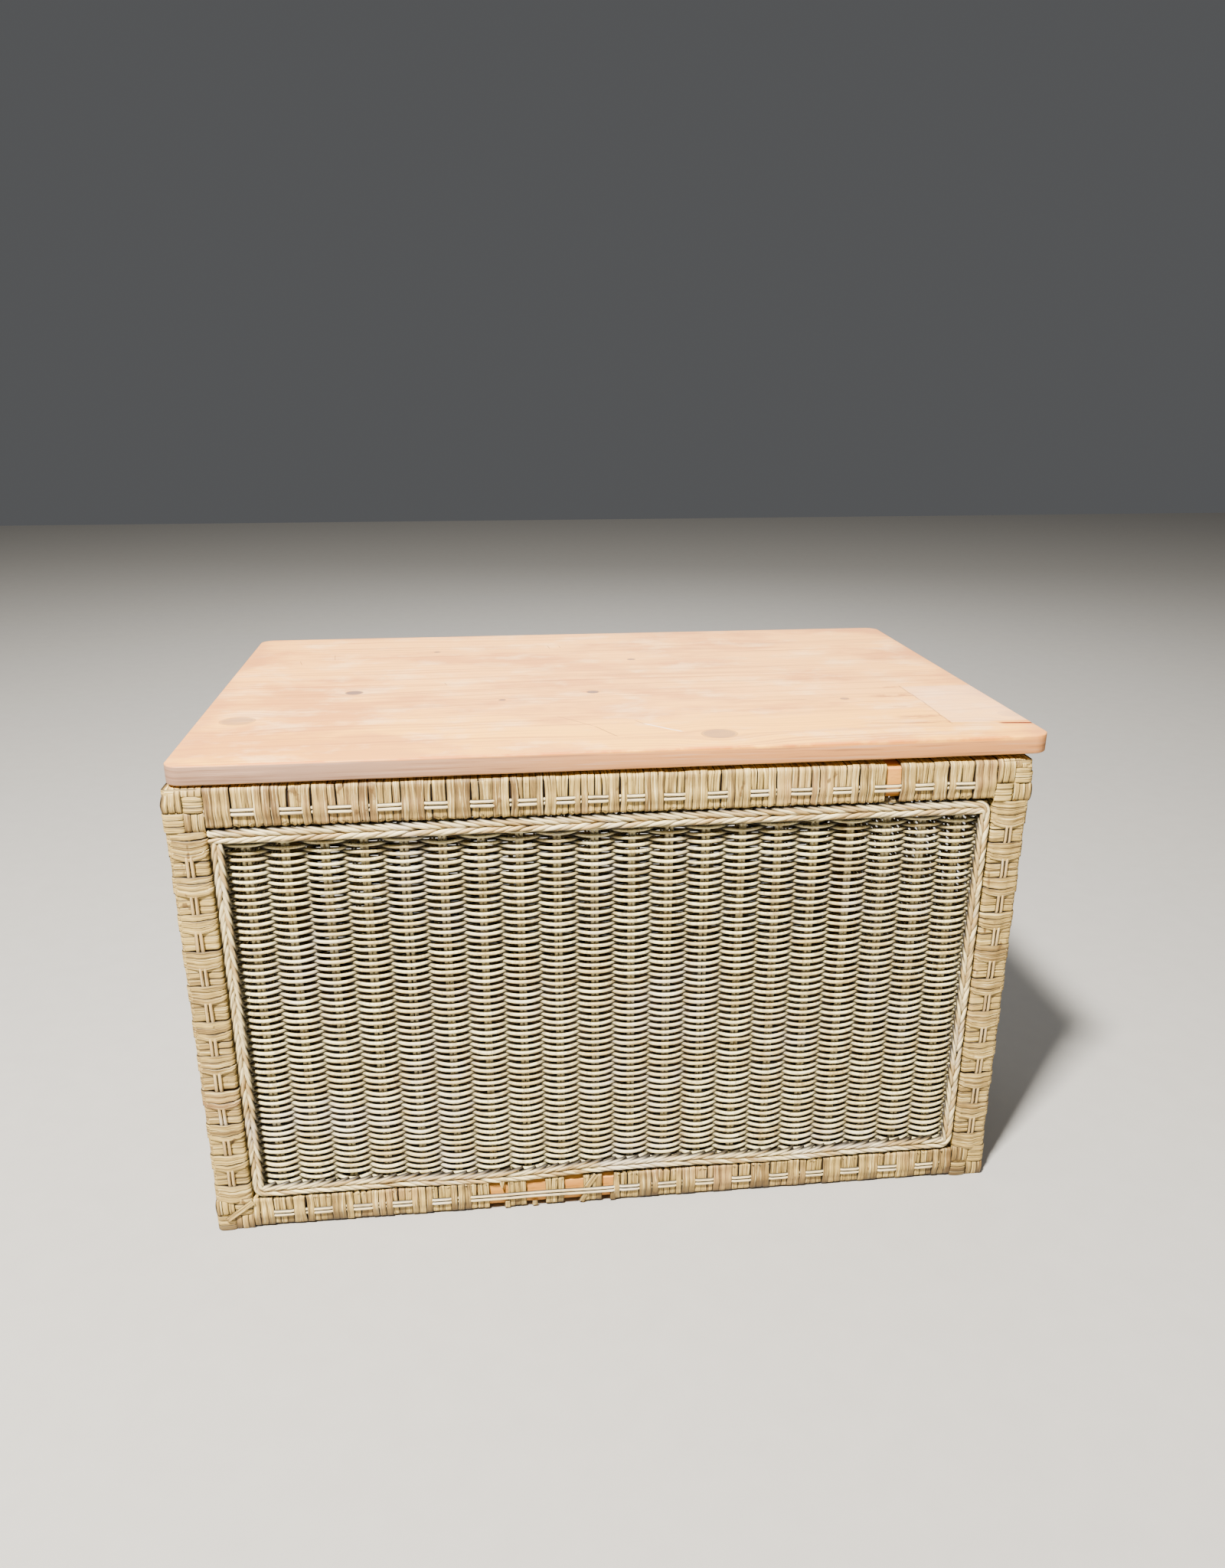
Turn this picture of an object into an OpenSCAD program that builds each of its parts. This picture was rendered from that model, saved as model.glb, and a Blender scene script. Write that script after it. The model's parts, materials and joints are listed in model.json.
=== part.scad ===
// Wicker storage trunk: a cane-wrapped wooden frame with four woven panels and a hinged pine lid.
// Millimetres. +Z is up, +X runs along the width, and the front faces -Y.
// The origin is at the centre of the whole trunk's footprint, on the floor.

/* [Frame] */
// Width of the frame over its cane wrapping
frame_w = 790; // [700:5:900]
// Depth of the frame over its cane wrapping
frame_d = 490; // [440:5:560]
// Height of the frame from the floor to the top of the rails
frame_h = 467; // [400:1:520]
// Side of a square corner post, wrapped
post_w = 35; // [30:0.5:42]
// Height of a top rail, wrapped
top_rail_h = 37.5; // [34:0.5:45]
// Height of a bottom rail, wrapped
bottom_rail_h = 34; // [32:0.5:42]
// Thickness of a rail from its outer to its inner face, wrapped
rail_t = 28; // [26:0.5:34]
// Thickness of the cane wrapping
wrap_t = 1.5; // [1.2:0.1:2]
// Radius of a wrapped edge
edge_r = 4; // [3:0.5:5]

/* [Liner strands] */
// Width of one liner strand under the wrapping
liner_w = 2; // [1.6:0.1:2.2]
// Distance between the two strands of a pair
liner_pitch = 2.6; // [2.4:0.1:3]
// Height of the top rail's pair below the top of the frame
top_liner_drop = 24; // [18:0.5:26]
// Height of the bottom rail's pair above the floor
bottom_liner_z = 16.5; // [14:0.5:20]

/* [Woven panels] */
// Groups of stakes in the front and back panels
long_groups = 20; // [16:1:24]
// Groups of stakes in the side panels
short_groups = 11; // [8:1:14]
// Distance from a post to the middle of the first group
first_group = 32.25; // [24:0.25:40]
// Diameter of a stake
stake_dia = 3.8; // [3:0.1:4.5]
// Distance between the two stakes of a group
stake_gap = 4; // [3.9:0.1:5]
// Thickness of the woven rods on each face of the stakes
weave_t = 2.6; // [2:0.1:3.4]
// Width of the upright braid
braid_side_w = 13.5; // [10:0.5:18]
// Height of the level braid
braid_level_h = 17; // [12:0.5:20]
// Thickness of the braid
braid_t = 6; // [5:0.5:8]
// Distance of the braid's face behind the frame's face
braid_inset = 0.8; // [0.5:0.1:3]

/* [Base] */
// Thickness of the plywood base
base_t = 6; // [4:0.5:9]
// Gap between the base and the rails
base_gap = 1; // [0.5:0.5:3]
// Side of a square ledger strip under the base
ledger_w = 12; // [10:1:16]
// Height of the ledgers' underside above the floor
ledger_z = 6; // [4:1:9]

/* [Lid] */
// Length of the lid
lid_w = 802; // [790:1:830]
// Depth of the lid
lid_d = 504; // [502:1:520]
// Thickness of the lid boards
lid_t = 18; // [16:0.5:22]
// Gap between the rails and the lid
lid_gap = 3; // [3:0.1:5]
// Distance that the lid sits off centre, to the right
lid_shift = 9; // [0:1:14]
// Radius of the lid's corners
lid_corner_r = 16; // [8:1:24]
// Width of the two front boards
front_board_w = 132; // [120:1:140]
// Width of a batten
batten_w = 45; // [35:1:60]
// Thickness of a batten
batten_t = 18; // [12:1:22]
// Distance of a batten from the middle of the frame
batten_x = 230; // [150:5:250]
// Gap between a batten's ends and the rails
batten_gap = 10; // [6:1:20]

/* [Hinges] */
// Distance of a hinge from the middle of the frame
hinge_x = 300; // [290:5:330]
// Length of a hinge along its pin
hinge_len = 60; // [50:2:66]
// Width of a leaf from the pin
leaf_w = 27; // [24:1:28]
// Thickness of a leaf
leaf_t = 1.4; // [1.2:0.1:1.5]
// Radius of the hinge pin
pin_r = 1.6; // [1.4:0.1:2]
// Clearance round the pin in the moving knuckle
pin_clearance = 0.05; // [0.03:0.01:0.08]
// Gap between the knuckles, and between a knuckle and its neighbours
knuckle_gap = 0.3; // [0.2:0.1:0.4]

/* [Hidden] */
$fn = 48;
sides = ["front", "right", "back", "left"];
corners = ["front_right", "back_right", "back_left", "front_left"];
lid_boards = 4;
through = 1;

// The lid hangs over on the right and at the back, so the frame stands off the middle.
frame_x = -(lid_w / 2 + lid_shift - frame_w / 2) / 2;
frame_y = -(lid_d - frame_d) / 2;

// Cores inside the wrapping
core_edge_r = edge_r - wrap_t;
post_core = post_w - 2 * wrap_t;
rail_core_t = rail_t - 2 * wrap_t;

// Liner grooves
liner_depth = 1;
liner_groove_w = liner_pitch + liner_w;

// Panels
opening_z = bottom_rail_h;
opening_h = frame_h - top_rail_h - bottom_rail_h;
weave_y = braid_inset + braid_t;
stake_y = weave_y + weave_t + stake_dia / 2;

// Dowels
dowel_r = 4;
dowel_in_post = 12;
dowel_in_rail = 20;
dowel_pitch = 16;

// Base
base_z = ledger_z + ledger_w;
nail_r = 0.9;
nail_head_r = 1.8;
nail_head_t = 0.8;
nail_len = 24;
long_nails = 4;
short_nails = 3;

// Lid
lid_z = frame_h + lid_gap;
back_board_w = (lid_d - 2 * front_board_w) / 2;
batten_len = frame_d - 2 * rail_t - 2 * batten_gap;
screw_r = 1.9;
screw_head_r = 3.8;
screw_head_t = 2;
batten_screw_len = 30;
batten_screw_x = 12;

// Hinges: the pin runs behind the back rail and under the lid's overhang.
knuckle_r = pin_r + leaf_t;
pin_y = frame_d / 2 + knuckle_r + knuckle_gap;
pin_z = lid_z - knuckle_r - knuckle_gap;
knuckle_len = hinge_len / 3;
leaf_screw_r = 1.5;
leaf_screw_head_r = 2.9;
leaf_screw_head_t = leaf_t;
leaf_screw_len = 14;
leaf_screw_pitch = 20;
leaf_screw_from_pin = 17;

// Length of one side of the frame: 0 front, 1 right, 2 back, 3 left
function side_len(s) = s % 2 == 0 ? frame_w : frame_d;

// Half the distance between a side and the one across from it
function side_out(s) = s % 2 == 0 ? frame_d / 2 : frame_w / 2;

// Width of the opening between the posts on one side
function opening_w(s) = side_len(s) - 2 * post_w;

// Places the frame and what is fixed to it in the trunk
module in_frame() {
  translate([frame_x, frame_y, 0])
    children();
}

// Places a piece on one side: x runs along the side from its middle, y goes in from its outer face
module on_side(s) {
  rotate([0, 0, 90 * s])
    translate([0, -side_out(s), 0])
      children();
}

// Places a piece on a corner post: x and y go in from the post's outer faces
module on_corner(c) {
  rotate([0, 0, 90 * c])
    translate([side_len(c) / 2, -side_out(c), 0])
      rotate([0, 0, 90])
        children();
}

// Rectangle with round corners, its low corner at the origin
module round_rect(w, h, r) {
  translate([r, 0])
    square([w - 2 * r, h]);
  translate([0, r])
    square([w, h - 2 * r]);
  for (x = [r, w - r], y = [r, h - r])
    translate([x, y])
      circle(r);
}

// Countersunk screw, its head's face at the origin and its shank along +Z
module screw(length, shank_r, head_r, head_t) {
  cylinder(h = head_t, r1 = head_r, r2 = shank_r);
  cylinder(h = length, r = shank_r);
}

// ---- Frame cores -------------------------------------------------------------------------

// Rail core along x between the posts' cores, from the frame's outer face at y = 0
module rail_core_bar(s, z, h) {
  len = side_len(s) - 2 * (post_w - wrap_t);
  translate([-len / 2, wrap_t, z + wrap_t])
    rotate([90, 0, 90])
      linear_extrude(len)
        round_rect(rail_core_t, h - 2 * wrap_t, core_edge_r);
}

// Both rail cores of one side
module rail_cores(s) {
  rail_core_bar(s, 0, bottom_rail_h);
  rail_core_bar(s, frame_h - top_rail_h, top_rail_h);
}

// The dowels at both ends of one rail
module rail_dowels(s, z, h) {
  joint_x = side_len(s) / 2 - post_w + wrap_t;
  len = dowel_in_post + dowel_in_rail;
  for (end = [-1, 1], dz = [-dowel_pitch / 2, dowel_pitch / 2])
    translate([end * (joint_x + (dowel_in_post - dowel_in_rail) / 2), rail_t / 2, z + h / 2 + dz])
      rotate([0, 90, 0])
        cylinder(h = len, r = dowel_r, center = true);
}

module side_dowels(s) {
  on_side(s) {
    rail_dowels(s, 0, bottom_rail_h);
    rail_dowels(s, frame_h - top_rail_h, top_rail_h);
  }
}

module frame_dowels() {
  color("tan")
    in_frame()
      for (s = [0 : 3])
        side_dowels(s);
}

module post(c) {
  color("peru")
    in_frame()
      difference() {
        on_corner(c)
          translate([wrap_t, wrap_t, 0])
            linear_extrude(frame_h)
              round_rect(post_core, post_core, core_edge_r);
        side_dowels(c);
        side_dowels((c + 1) % 4);
      }
}

module rail(s, z, h) {
  color("peru")
    in_frame()
      difference() {
        on_side(s)
          rail_core_bar(s, z, h);
        side_dowels(s);
        ledger_nail_set(s);
        if (s == 2)
          rail_screw_set();
      }
}

module top_rail(s) {
  rail(s, frame_h - top_rail_h, top_rail_h);
}

module bottom_rail(s) {
  rail(s, 0, bottom_rail_h);
}

// ---- Cane wrapping -----------------------------------------------------------------------

// Shallow groove along x in an outer face at y = 0, for a pair of liner strands
module level_groove(len, z) {
  translate([-len / 2, -through, z - liner_groove_w / 2])
    cube([len, liner_depth + through, liner_groove_w]);
}

// The same groove upright, in the middle of a post's face
module upright_groove(x) {
  translate([x - liner_groove_w / 2, -through, -through])
    cube([liner_groove_w, liner_depth + through, frame_h + 2 * through]);
}

module rail_wrap(s, z, h, liner_z) {
  len = opening_w(s);
  color("wheat")
    in_frame()
      difference() {
        on_side(s)
          translate([-len / 2, 0, z])
            rotate([90, 0, 90])
              linear_extrude(len)
                difference() {
                  round_rect(rail_t, h, edge_r);
                  translate([wrap_t, wrap_t])
                    round_rect(rail_core_t, h - 2 * wrap_t, core_edge_r);
                }
        on_side(s)
          level_groove(len + 2 * through, liner_z);
        ledger_nail_set(s);
        if (s == 2)
          rail_screw_set();
      }
}

module top_rail_wrap(s) {
  rail_wrap(s, frame_h - top_rail_h, top_rail_h, frame_h - top_liner_drop);
}

module bottom_rail_wrap(s) {
  rail_wrap(s, 0, bottom_rail_h, bottom_liner_z);
}

module post_wrap(c) {
  next = (c + 1) % 4;
  color("wheat")
    in_frame()
      difference() {
        on_corner(c)
          linear_extrude(frame_h)
            difference() {
              round_rect(post_w, post_w, edge_r);
              translate([wrap_t, wrap_t])
                round_rect(post_core, post_core, core_edge_r);
            }
        on_side(c) {
          upright_groove((side_len(c) - post_w) / 2);
          rail_cores(c);
        }
        on_side(next) {
          upright_groove(-(side_len(next) - post_w) / 2);
          rail_cores(next);
        }
      }
}

// Both strands of a pair along x, flush with the outer face at y = 0
module level_liner(len, z) {
  for (dz = [-liner_pitch / 2, liner_pitch / 2])
    translate([-len / 2, 0, z + dz - liner_w / 2])
      cube([len, liner_depth, liner_w]);
}

// The same pair standing up
module upright_liner(x) {
  for (dx = [-liner_pitch / 2, liner_pitch / 2])
    translate([x + dx - liner_w / 2, 0, 0])
      cube([liner_w, liner_depth, frame_h]);
}

module liners(s) {
  color("ivory")
    in_frame()
      on_side(s) {
        level_liner(opening_w(s), frame_h - top_liner_drop);
        level_liner(opening_w(s), bottom_liner_z);
        upright_liner((side_len(s) - post_w) / 2);
        upright_liner(-(side_len(s) - post_w) / 2);
      }
}

// ---- Woven panels ------------------------------------------------------------------------

module stakes(s) {
  groups = s % 2 == 0 ? long_groups : short_groups;
  span = opening_w(s) - 2 * first_group;
  color("khaki")
    in_frame()
      on_side(s)
        for (i = [0 : groups - 1], dx = [-stake_gap / 2, stake_gap / 2])
          translate([-span / 2 + i * span / (groups - 1) + dx, stake_y, opening_z])
            cylinder(h = opening_h, r = stake_dia / 2);
}

// The woven rods, as one skin on each face of the stakes
module weave(s) {
  skins = [weave_y, weave_y + weave_t + stake_dia];
  color("cornsilk")
    in_frame()
      on_side(s)
        for (y = skins)
          translate([-opening_w(s) / 2, y, opening_z])
            cube([opening_w(s), weave_t, opening_h]);
}

// The flat braid that covers the edge of a panel all round
module braid(s) {
  w = opening_w(s);
  color("antiquewhite")
    in_frame()
      on_side(s)
        difference() {
          translate([-w / 2, braid_inset, opening_z])
            cube([w, braid_t, opening_h]);
          translate([-w / 2 + braid_side_w, 0, opening_z + braid_level_h])
            cube([w - 2 * braid_side_w, weave_y + through, opening_h - 2 * braid_level_h]);
        }
}

// ---- Base --------------------------------------------------------------------------------

module base_board() {
  w = frame_w - 2 * rail_t - 2 * base_gap;
  d = frame_d - 2 * rail_t - 2 * base_gap;
  notch = post_w - rail_t + base_gap;
  color("burlywood")
    in_frame()
      translate([0, 0, base_z])
        linear_extrude(base_t)
          difference() {
            square([w, d], center = true);
            for (x = [-1, 1], y = [-1, 1])
              translate([x * w / 2, y * d / 2])
                square([2 * notch, 2 * notch], center = true);
          }
}

// Length of the ledger on one side: the short ones fit between the long ones
function ledger_len(s) = opening_w(s) - 2 * base_gap - (s % 2 == 0 ? 0 : 2 * ledger_w);

// Nails that hold one side's ledger, from its inner face into the rail
module ledger_nail_set(s) {
  count = s % 2 == 0 ? long_nails : short_nails;
  pitch = ledger_len(s) / count;
  head_y = rail_t + ledger_w;
  on_side(s)
    for (i = [0 : count - 1])
      translate([(i - (count - 1) / 2) * pitch, head_y, ledger_z + ledger_w / 2])
        rotate([90, 0, 0]) {
          cylinder(h = nail_len, r = nail_r);
          cylinder(h = nail_head_t, r = nail_head_r);
        }
}

module base_ledgers() {
  color("sandybrown")
    in_frame()
      for (s = [0 : 3])
        difference() {
          on_side(s)
            translate([-ledger_len(s) / 2, rail_t, ledger_z])
              cube([ledger_len(s), ledger_w, ledger_w]);
          ledger_nail_set(s);
        }
}

module ledger_nails() {
  color("dimgray")
    in_frame()
      for (s = [0 : 3])
        ledger_nail_set(s);
}

// ---- Lid ---------------------------------------------------------------------------------

// Places the lid's pieces: x from the lid's middle, y from its front edge
module in_lid() {
  translate([frame_x + lid_shift, frame_y - frame_d / 2, 0])
    children();
}

// Front edge and width of one board, counted from the front
function board_w(i) = i < 2 ? front_board_w : back_board_w;
function board_y(i) = i < 2 ? i * front_board_w : 2 * front_board_w + (i - 2) * back_board_w;

module lid_board(i) {
  color(i % 2 == 0 ? "bisque" : "moccasin")
    difference() {
      in_lid()
        translate([0, 0, lid_z])
          linear_extrude(lid_t)
            intersection() {
              translate([-lid_w / 2, 0])
                round_rect(lid_w, lid_d, lid_corner_r);
              translate([-lid_w / 2, board_y(i)])
                square([lid_w, board_w(i)]);
            }
      batten_screws_at(i);
      if (i == lid_boards - 1)
        in_frame()
          lid_screw_set();
    }
}

// The battens hang inside the frame, so they are placed from it.
module lid_batten(side) {
  color("tan")
    difference() {
      in_frame()
        translate([side * batten_x - batten_w / 2, -batten_len / 2, lid_z - batten_t])
          cube([batten_w, batten_len, batten_t]);
      for (i = [0 : lid_boards - 1])
        batten_screws_at(i);
    }
}

// Distance back from the lid's front edge of the screws in one board
function batten_screw_y(i) = i == 0 ? front_board_w - 40
  : i == lid_boards - 1 ? lid_d - back_board_w + 30
  : board_y(i) + board_w(i) / 2;

// The screws that hold one board to both battens
module batten_screws_at(i) {
  for (side = [-1, 1], dx = [-batten_screw_x, batten_screw_x])
    translate([frame_x + side * batten_x + dx, frame_y - frame_d / 2 + batten_screw_y(i),
               lid_z - batten_t])
      screw(batten_screw_len, screw_r, screw_head_r, screw_head_t);
}

module batten_screws() {
  color("silver")
    for (i = [0 : lid_boards - 1])
      batten_screws_at(i);
}

// ---- Hinges ------------------------------------------------------------------------------

// Places one hinge: x along the pin from its middle, the pin's axis at y = z = 0
module on_hinge(side) {
  translate([frame_x + side * hinge_x, frame_y + pin_y, pin_z])
    children();
}

// Solid knuckle along x between two places
module knuckle(x0, x1) {
  translate([x0, 0, 0])
    rotate([0, 90, 0])
      cylinder(h = x1 - x0, r = knuckle_r);
}

// Bore through the whole hinge along x
module pin_bore(r) {
  rotate([0, 90, 0])
    cylinder(h = hinge_len + 2 * through, r = r, center = true);
}

// Screws of one leaf, seen with the leaf flat, its pin along x and its plate towards +Y
module leaf_screws(face_z) {
  for (i = [-1 : 1])
    translate([i * leaf_screw_pitch, leaf_screw_from_pin, face_z])
      screw(leaf_screw_len, leaf_screw_r, leaf_screw_head_r, leaf_screw_head_t);
}

// Plate of a leaf, the same way up, with its outer face at z = face_z + leaf_t
module leaf_plate(face_z) {
  clear = knuckle_r + knuckle_gap;
  translate([-hinge_len / 2, clear, face_z])
    cube([hinge_len, leaf_w - clear, leaf_t]);
}

// The part of a plate that reaches its knuckle
module leaf_tongue(face_z, x0, x1) {
  translate([x0, 0, face_z])
    cube([x1 - x0, leaf_w / 2, leaf_t]);
}

// Height of a plate's inner face above the pin's axis, in both leaves
leaf_face = knuckle_r + knuckle_gap - leaf_t;
outer_knuckle_x = hinge_len / 2;
inner_knuckle_x = knuckle_len / 2;

// Turns a flat leaf to stand against the back rail, its plate hanging down
module against_rail() {
  rotate([90, 0, 0])
    rotate([0, 0, 180])
      children();
}

// Turns a flat leaf to lie under the lid, its plate towards the front
module under_lid() {
  rotate([0, 0, 180])
    children();
}

module rail_leaf(side) {
  color("darkgoldenrod")
    on_hinge(side)
      difference() {
        union() {
          against_rail() {
            leaf_plate(leaf_face);
            leaf_tongue(leaf_face, inner_knuckle_x, outer_knuckle_x);
            leaf_tongue(leaf_face, -outer_knuckle_x, -inner_knuckle_x);
          }
          knuckle(inner_knuckle_x, outer_knuckle_x);
          knuckle(-outer_knuckle_x, -inner_knuckle_x);
        }
        pin_bore(pin_r);
        against_rail()
          leaf_screws(leaf_face);
      }
}

module lid_leaf(side) {
  reach = inner_knuckle_x - knuckle_gap;
  color("darkgoldenrod")
    on_hinge(side)
      difference() {
        union() {
          under_lid() {
            leaf_plate(leaf_face);
            leaf_tongue(leaf_face, -reach, reach);
          }
          knuckle(-reach, reach);
        }
        pin_bore(pin_r + pin_clearance);
        under_lid()
          leaf_screws(leaf_face);
      }
}

module hinge_pin(side) {
  color("goldenrod")
    on_hinge(side)
      rotate([0, 90, 0])
        cylinder(h = hinge_len, r = pin_r, center = true);
}

// Hinge screws, placed in the frame's coordinates so that wood can be bored with them
module rail_screw_set() {
  for (side = [-1, 1])
    translate([side * hinge_x, pin_y, pin_z])
      against_rail()
        leaf_screws(leaf_face);
}

module lid_screw_set() {
  for (side = [-1, 1])
    translate([side * hinge_x, pin_y, pin_z])
      under_lid()
        leaf_screws(leaf_face);
}

module rail_leaf_screws() {
  color("silver")
    in_frame()
      rail_screw_set();
}

module lid_leaf_screws() {
  color("silver")
    in_frame()
      lid_screw_set();
}

post(0);  // post_front_right
post(1);  // post_back_right
post(2);  // post_back_left
post(3);  // post_front_left
top_rail(0);  // top_rail_front
top_rail(1);  // top_rail_right
top_rail(2);  // top_rail_back
top_rail(3);  // top_rail_left
bottom_rail(0);  // bottom_rail_front
bottom_rail(1);  // bottom_rail_right
bottom_rail(2);  // bottom_rail_back
bottom_rail(3);  // bottom_rail_left
frame_dowels();
post_wrap(0);  // post_wrap_front_right
post_wrap(1);  // post_wrap_back_right
post_wrap(2);  // post_wrap_back_left
post_wrap(3);  // post_wrap_front_left
top_rail_wrap(0);  // top_rail_wrap_front
top_rail_wrap(1);  // top_rail_wrap_right
top_rail_wrap(2);  // top_rail_wrap_back
top_rail_wrap(3);  // top_rail_wrap_left
bottom_rail_wrap(0);  // bottom_rail_wrap_front
bottom_rail_wrap(1);  // bottom_rail_wrap_right
bottom_rail_wrap(2);  // bottom_rail_wrap_back
bottom_rail_wrap(3);  // bottom_rail_wrap_left
liners(0);  // liners_front
liners(1);  // liners_right
liners(2);  // liners_back
liners(3);  // liners_left
stakes(0);  // stakes_front
stakes(1);  // stakes_right
stakes(2);  // stakes_back
stakes(3);  // stakes_left
weave(0);  // weave_front
weave(1);  // weave_right
weave(2);  // weave_back
weave(3);  // weave_left
braid(0);  // braid_front
braid(1);  // braid_right
braid(2);  // braid_back
braid(3);  // braid_left
base_board();
base_ledgers();
ledger_nails();
lid_board(0);  // lid_board_1
lid_board(1);  // lid_board_2
lid_board(2);  // lid_board_3
lid_board(3);  // lid_board_4
lid_batten(-1);  // lid_batten_left
lid_batten(1);  // lid_batten_right
batten_screws();
rail_leaf(-1);  // hinge_left_rail_leaf
lid_leaf(-1);  // hinge_left_lid_leaf
hinge_pin(-1);  // hinge_left_pin
rail_leaf(1);  // hinge_right_rail_leaf
lid_leaf(1);  // hinge_right_lid_leaf
hinge_pin(1);  // hinge_right_pin
rail_leaf_screws();
lid_leaf_screws();
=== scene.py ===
"""The looks of a wicker storage trunk: a cane-wrapped frame, panels woven rod by rod, plaited braids
and a worn, whitewashed pine lid. Metres. The frame's and lid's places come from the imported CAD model's
boxes. Worn spots are measured from the frame's left and foot, and the lid's marks from its front left."""
import json
import math

import bpy
import numpy as np
from mathutils import Matrix, Vector


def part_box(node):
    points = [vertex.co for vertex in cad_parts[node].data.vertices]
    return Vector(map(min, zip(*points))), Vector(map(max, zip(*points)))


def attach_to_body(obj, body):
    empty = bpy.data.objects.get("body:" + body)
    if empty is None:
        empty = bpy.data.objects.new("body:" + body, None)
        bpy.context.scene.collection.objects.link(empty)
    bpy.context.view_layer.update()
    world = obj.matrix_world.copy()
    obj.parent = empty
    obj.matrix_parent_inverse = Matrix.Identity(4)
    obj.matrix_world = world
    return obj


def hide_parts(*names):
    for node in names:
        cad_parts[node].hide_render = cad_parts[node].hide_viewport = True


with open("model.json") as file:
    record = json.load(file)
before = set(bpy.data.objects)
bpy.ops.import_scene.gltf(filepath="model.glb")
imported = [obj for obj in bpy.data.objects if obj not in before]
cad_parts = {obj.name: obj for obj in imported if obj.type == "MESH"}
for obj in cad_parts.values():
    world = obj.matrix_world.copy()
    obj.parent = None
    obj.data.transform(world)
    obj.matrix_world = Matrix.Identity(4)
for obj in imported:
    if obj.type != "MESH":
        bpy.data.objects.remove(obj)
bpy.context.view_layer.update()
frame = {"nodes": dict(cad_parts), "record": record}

MM = 0.001
UP = np.array([0.0, 0.0, 1.0])
chance = np.random.default_rng(634)

# ---- Measures ----

SIDE_NAMES = ("front", "right", "back", "left")
# Groups of stakes in each panel, and places where the liner strands show on each rail and post
GROUPS = {"front": 20, "right": 11, "back": 20, "left": 11}
EXPOSURES = {"front": 18, "right": 10, "back": 18, "left": 10}
POST_EXPOSURES = 10
# Woven panel: distance between a pair of stakes and their radius, then height of a row of rods, a rod's
# radius and how far it swings in and out
STAKE_PAIR, STAKE_R = 4.0 * MM, 1.88 * MM
ROW_PITCH, ROD_R, ROD_SWING = 3.53 * MM, 1.8 * MM, 3.85 * MM
# Braid: distance between rods, their radius, and how far one reaches along an upright and a level side
BRAID_PITCH, BRAID_R = 11.6 * MM, 2.0 * MM
BRAID_REACH = (32 * MM, 38 * MM)
# Cane straps: thickness, how deep their outer face lies below the CAD sleeve's, and their share of their
# place's width. Then how far over straps rise at the liner strands, how far from those that starts, and
# how much over straps on a post bow and widen at their middle
STRAP_THICK, STRAP_TOP, STRAP_FILL = 1.0 * MM, 0.45 * MM, 1.03
OVER_RISE, OVER_REACH = 1.75 * MM, 5.4 * MM
SMILE = 1.2 * MM
# Liner strands: radius, half the distance between a pair, how flat they are, how deep they are pressed
LINER_R, LINER_HALF, LINER_FLAT, LINER_DIP = 1.7 * MM, 2.05 * MM, 0.9, 1.3 * MM
# Radii of the wrapping's edges: plain, next to the panel, and on top of the short sides
EDGE_R, TUCK_R, SIDE_TOP_R = 4.5 * MM, 2.0 * MM, 13.0 * MM
# Heights on a post: where its own wrapping starts and ends, and where the corner blocks' rows meet
POST_LOW, POST_HIGH = 36.5 * MM, 425.5 * MM
BOTTOM_SPLIT, TOP_SPLIT = 17.0 * MM, 443.5 * MM
# Height of the strips that turn over the frame's top edge above a level block
TOP_CAP = 6.0 * MM
# Wooden cores: how much thinner than the CAD bars they are on each side, and their chamfer
CORE_INSET, CORE_CHAMFER = 1.5 * MM, 3.4 * MM
# Where the front rails' straps have broken away, from the frame's left: all of them above, and only
# the over straps below
BARE_TOP = (651 * MM, 662 * MM)
BARE_BOTTOM = (250 * MM, 398 * MM)
# Torn ends of straps on the front rails: where each starts and ends, from the frame's left and from the
# rail's foot, and its width at both ends, in millimetres
TORN_TOP = ((656, 0.5, 656, 3.4, 7.0, 5.0),)
TORN_BOTTOM = ((281, 34, 281, 26, 6.5, 1.0), (286, 2, 286, 10.5, 6.0, 5.0), (314, 2.5, 314, 8.5, 6.3, 5.5),
               (377, 34, 367, 20, 6.8, 6.0), (361.5, 2.5, 366, 12, 6.2, 5.0), (394, 2, 394, 15, 6.0, 4.5),
               (36, 32.5, 9.5, 13.5, 6.5, 5.5))


def limits(node):
    """Low and high corners of a CAD node's box."""
    low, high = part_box(node)
    return np.array(low), np.array(high)


FRAME_LOW = limits("post_wrap_front_left")[0]
FRAME_HIGH = limits("post_wrap_back_right")[1]
FRAME_MID = (FRAME_LOW + FRAME_HIGH) / 2
FRAME_SIZE = FRAME_HIGH - FRAME_LOW
POST = limits("post_wrap_front_left")[1][0] - FRAME_LOW[0]
TOP_RAIL = limits("top_rail_wrap_front")
BOTTOM_RAIL = limits("bottom_rail_wrap_front")
RAIL_T = TOP_RAIL[1][1] - TOP_RAIL[0][1]
FRAME_TOP = FRAME_HIGH[2]
OPENING_LOW = BOTTOM_RAIL[1][2]
OPENING_HIGH = TOP_RAIL[0][2]
TOP_LINER_Z = FRAME_TOP - 24.0 * MM
BOTTOM_LINER_Z = 16.5 * MM


class Axes:
    """A local frame: an origin and three directions, such as along, inward and up."""

    def __init__(self, origin, a, b, c=UP):
        self.origin = np.array(origin, float)
        self.rows = np.array([a, b, c], float)

    def place(self, points):
        return self.origin + points @ self.rows

    def turn(self, directions):
        return directions @ self.rows


def side_axes(index):
    """The frame of one side: along it from its middle, inward from its outer face, and up."""
    angle = index * math.pi / 2
    along = np.array([math.cos(angle), math.sin(angle), 0])
    inward = np.array([-math.sin(angle), math.cos(angle), 0])
    out = FRAME_SIZE[1 - index % 2] / 2
    return Axes(FRAME_MID * [1, 1, 0] - inward * out, along, inward)


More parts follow.
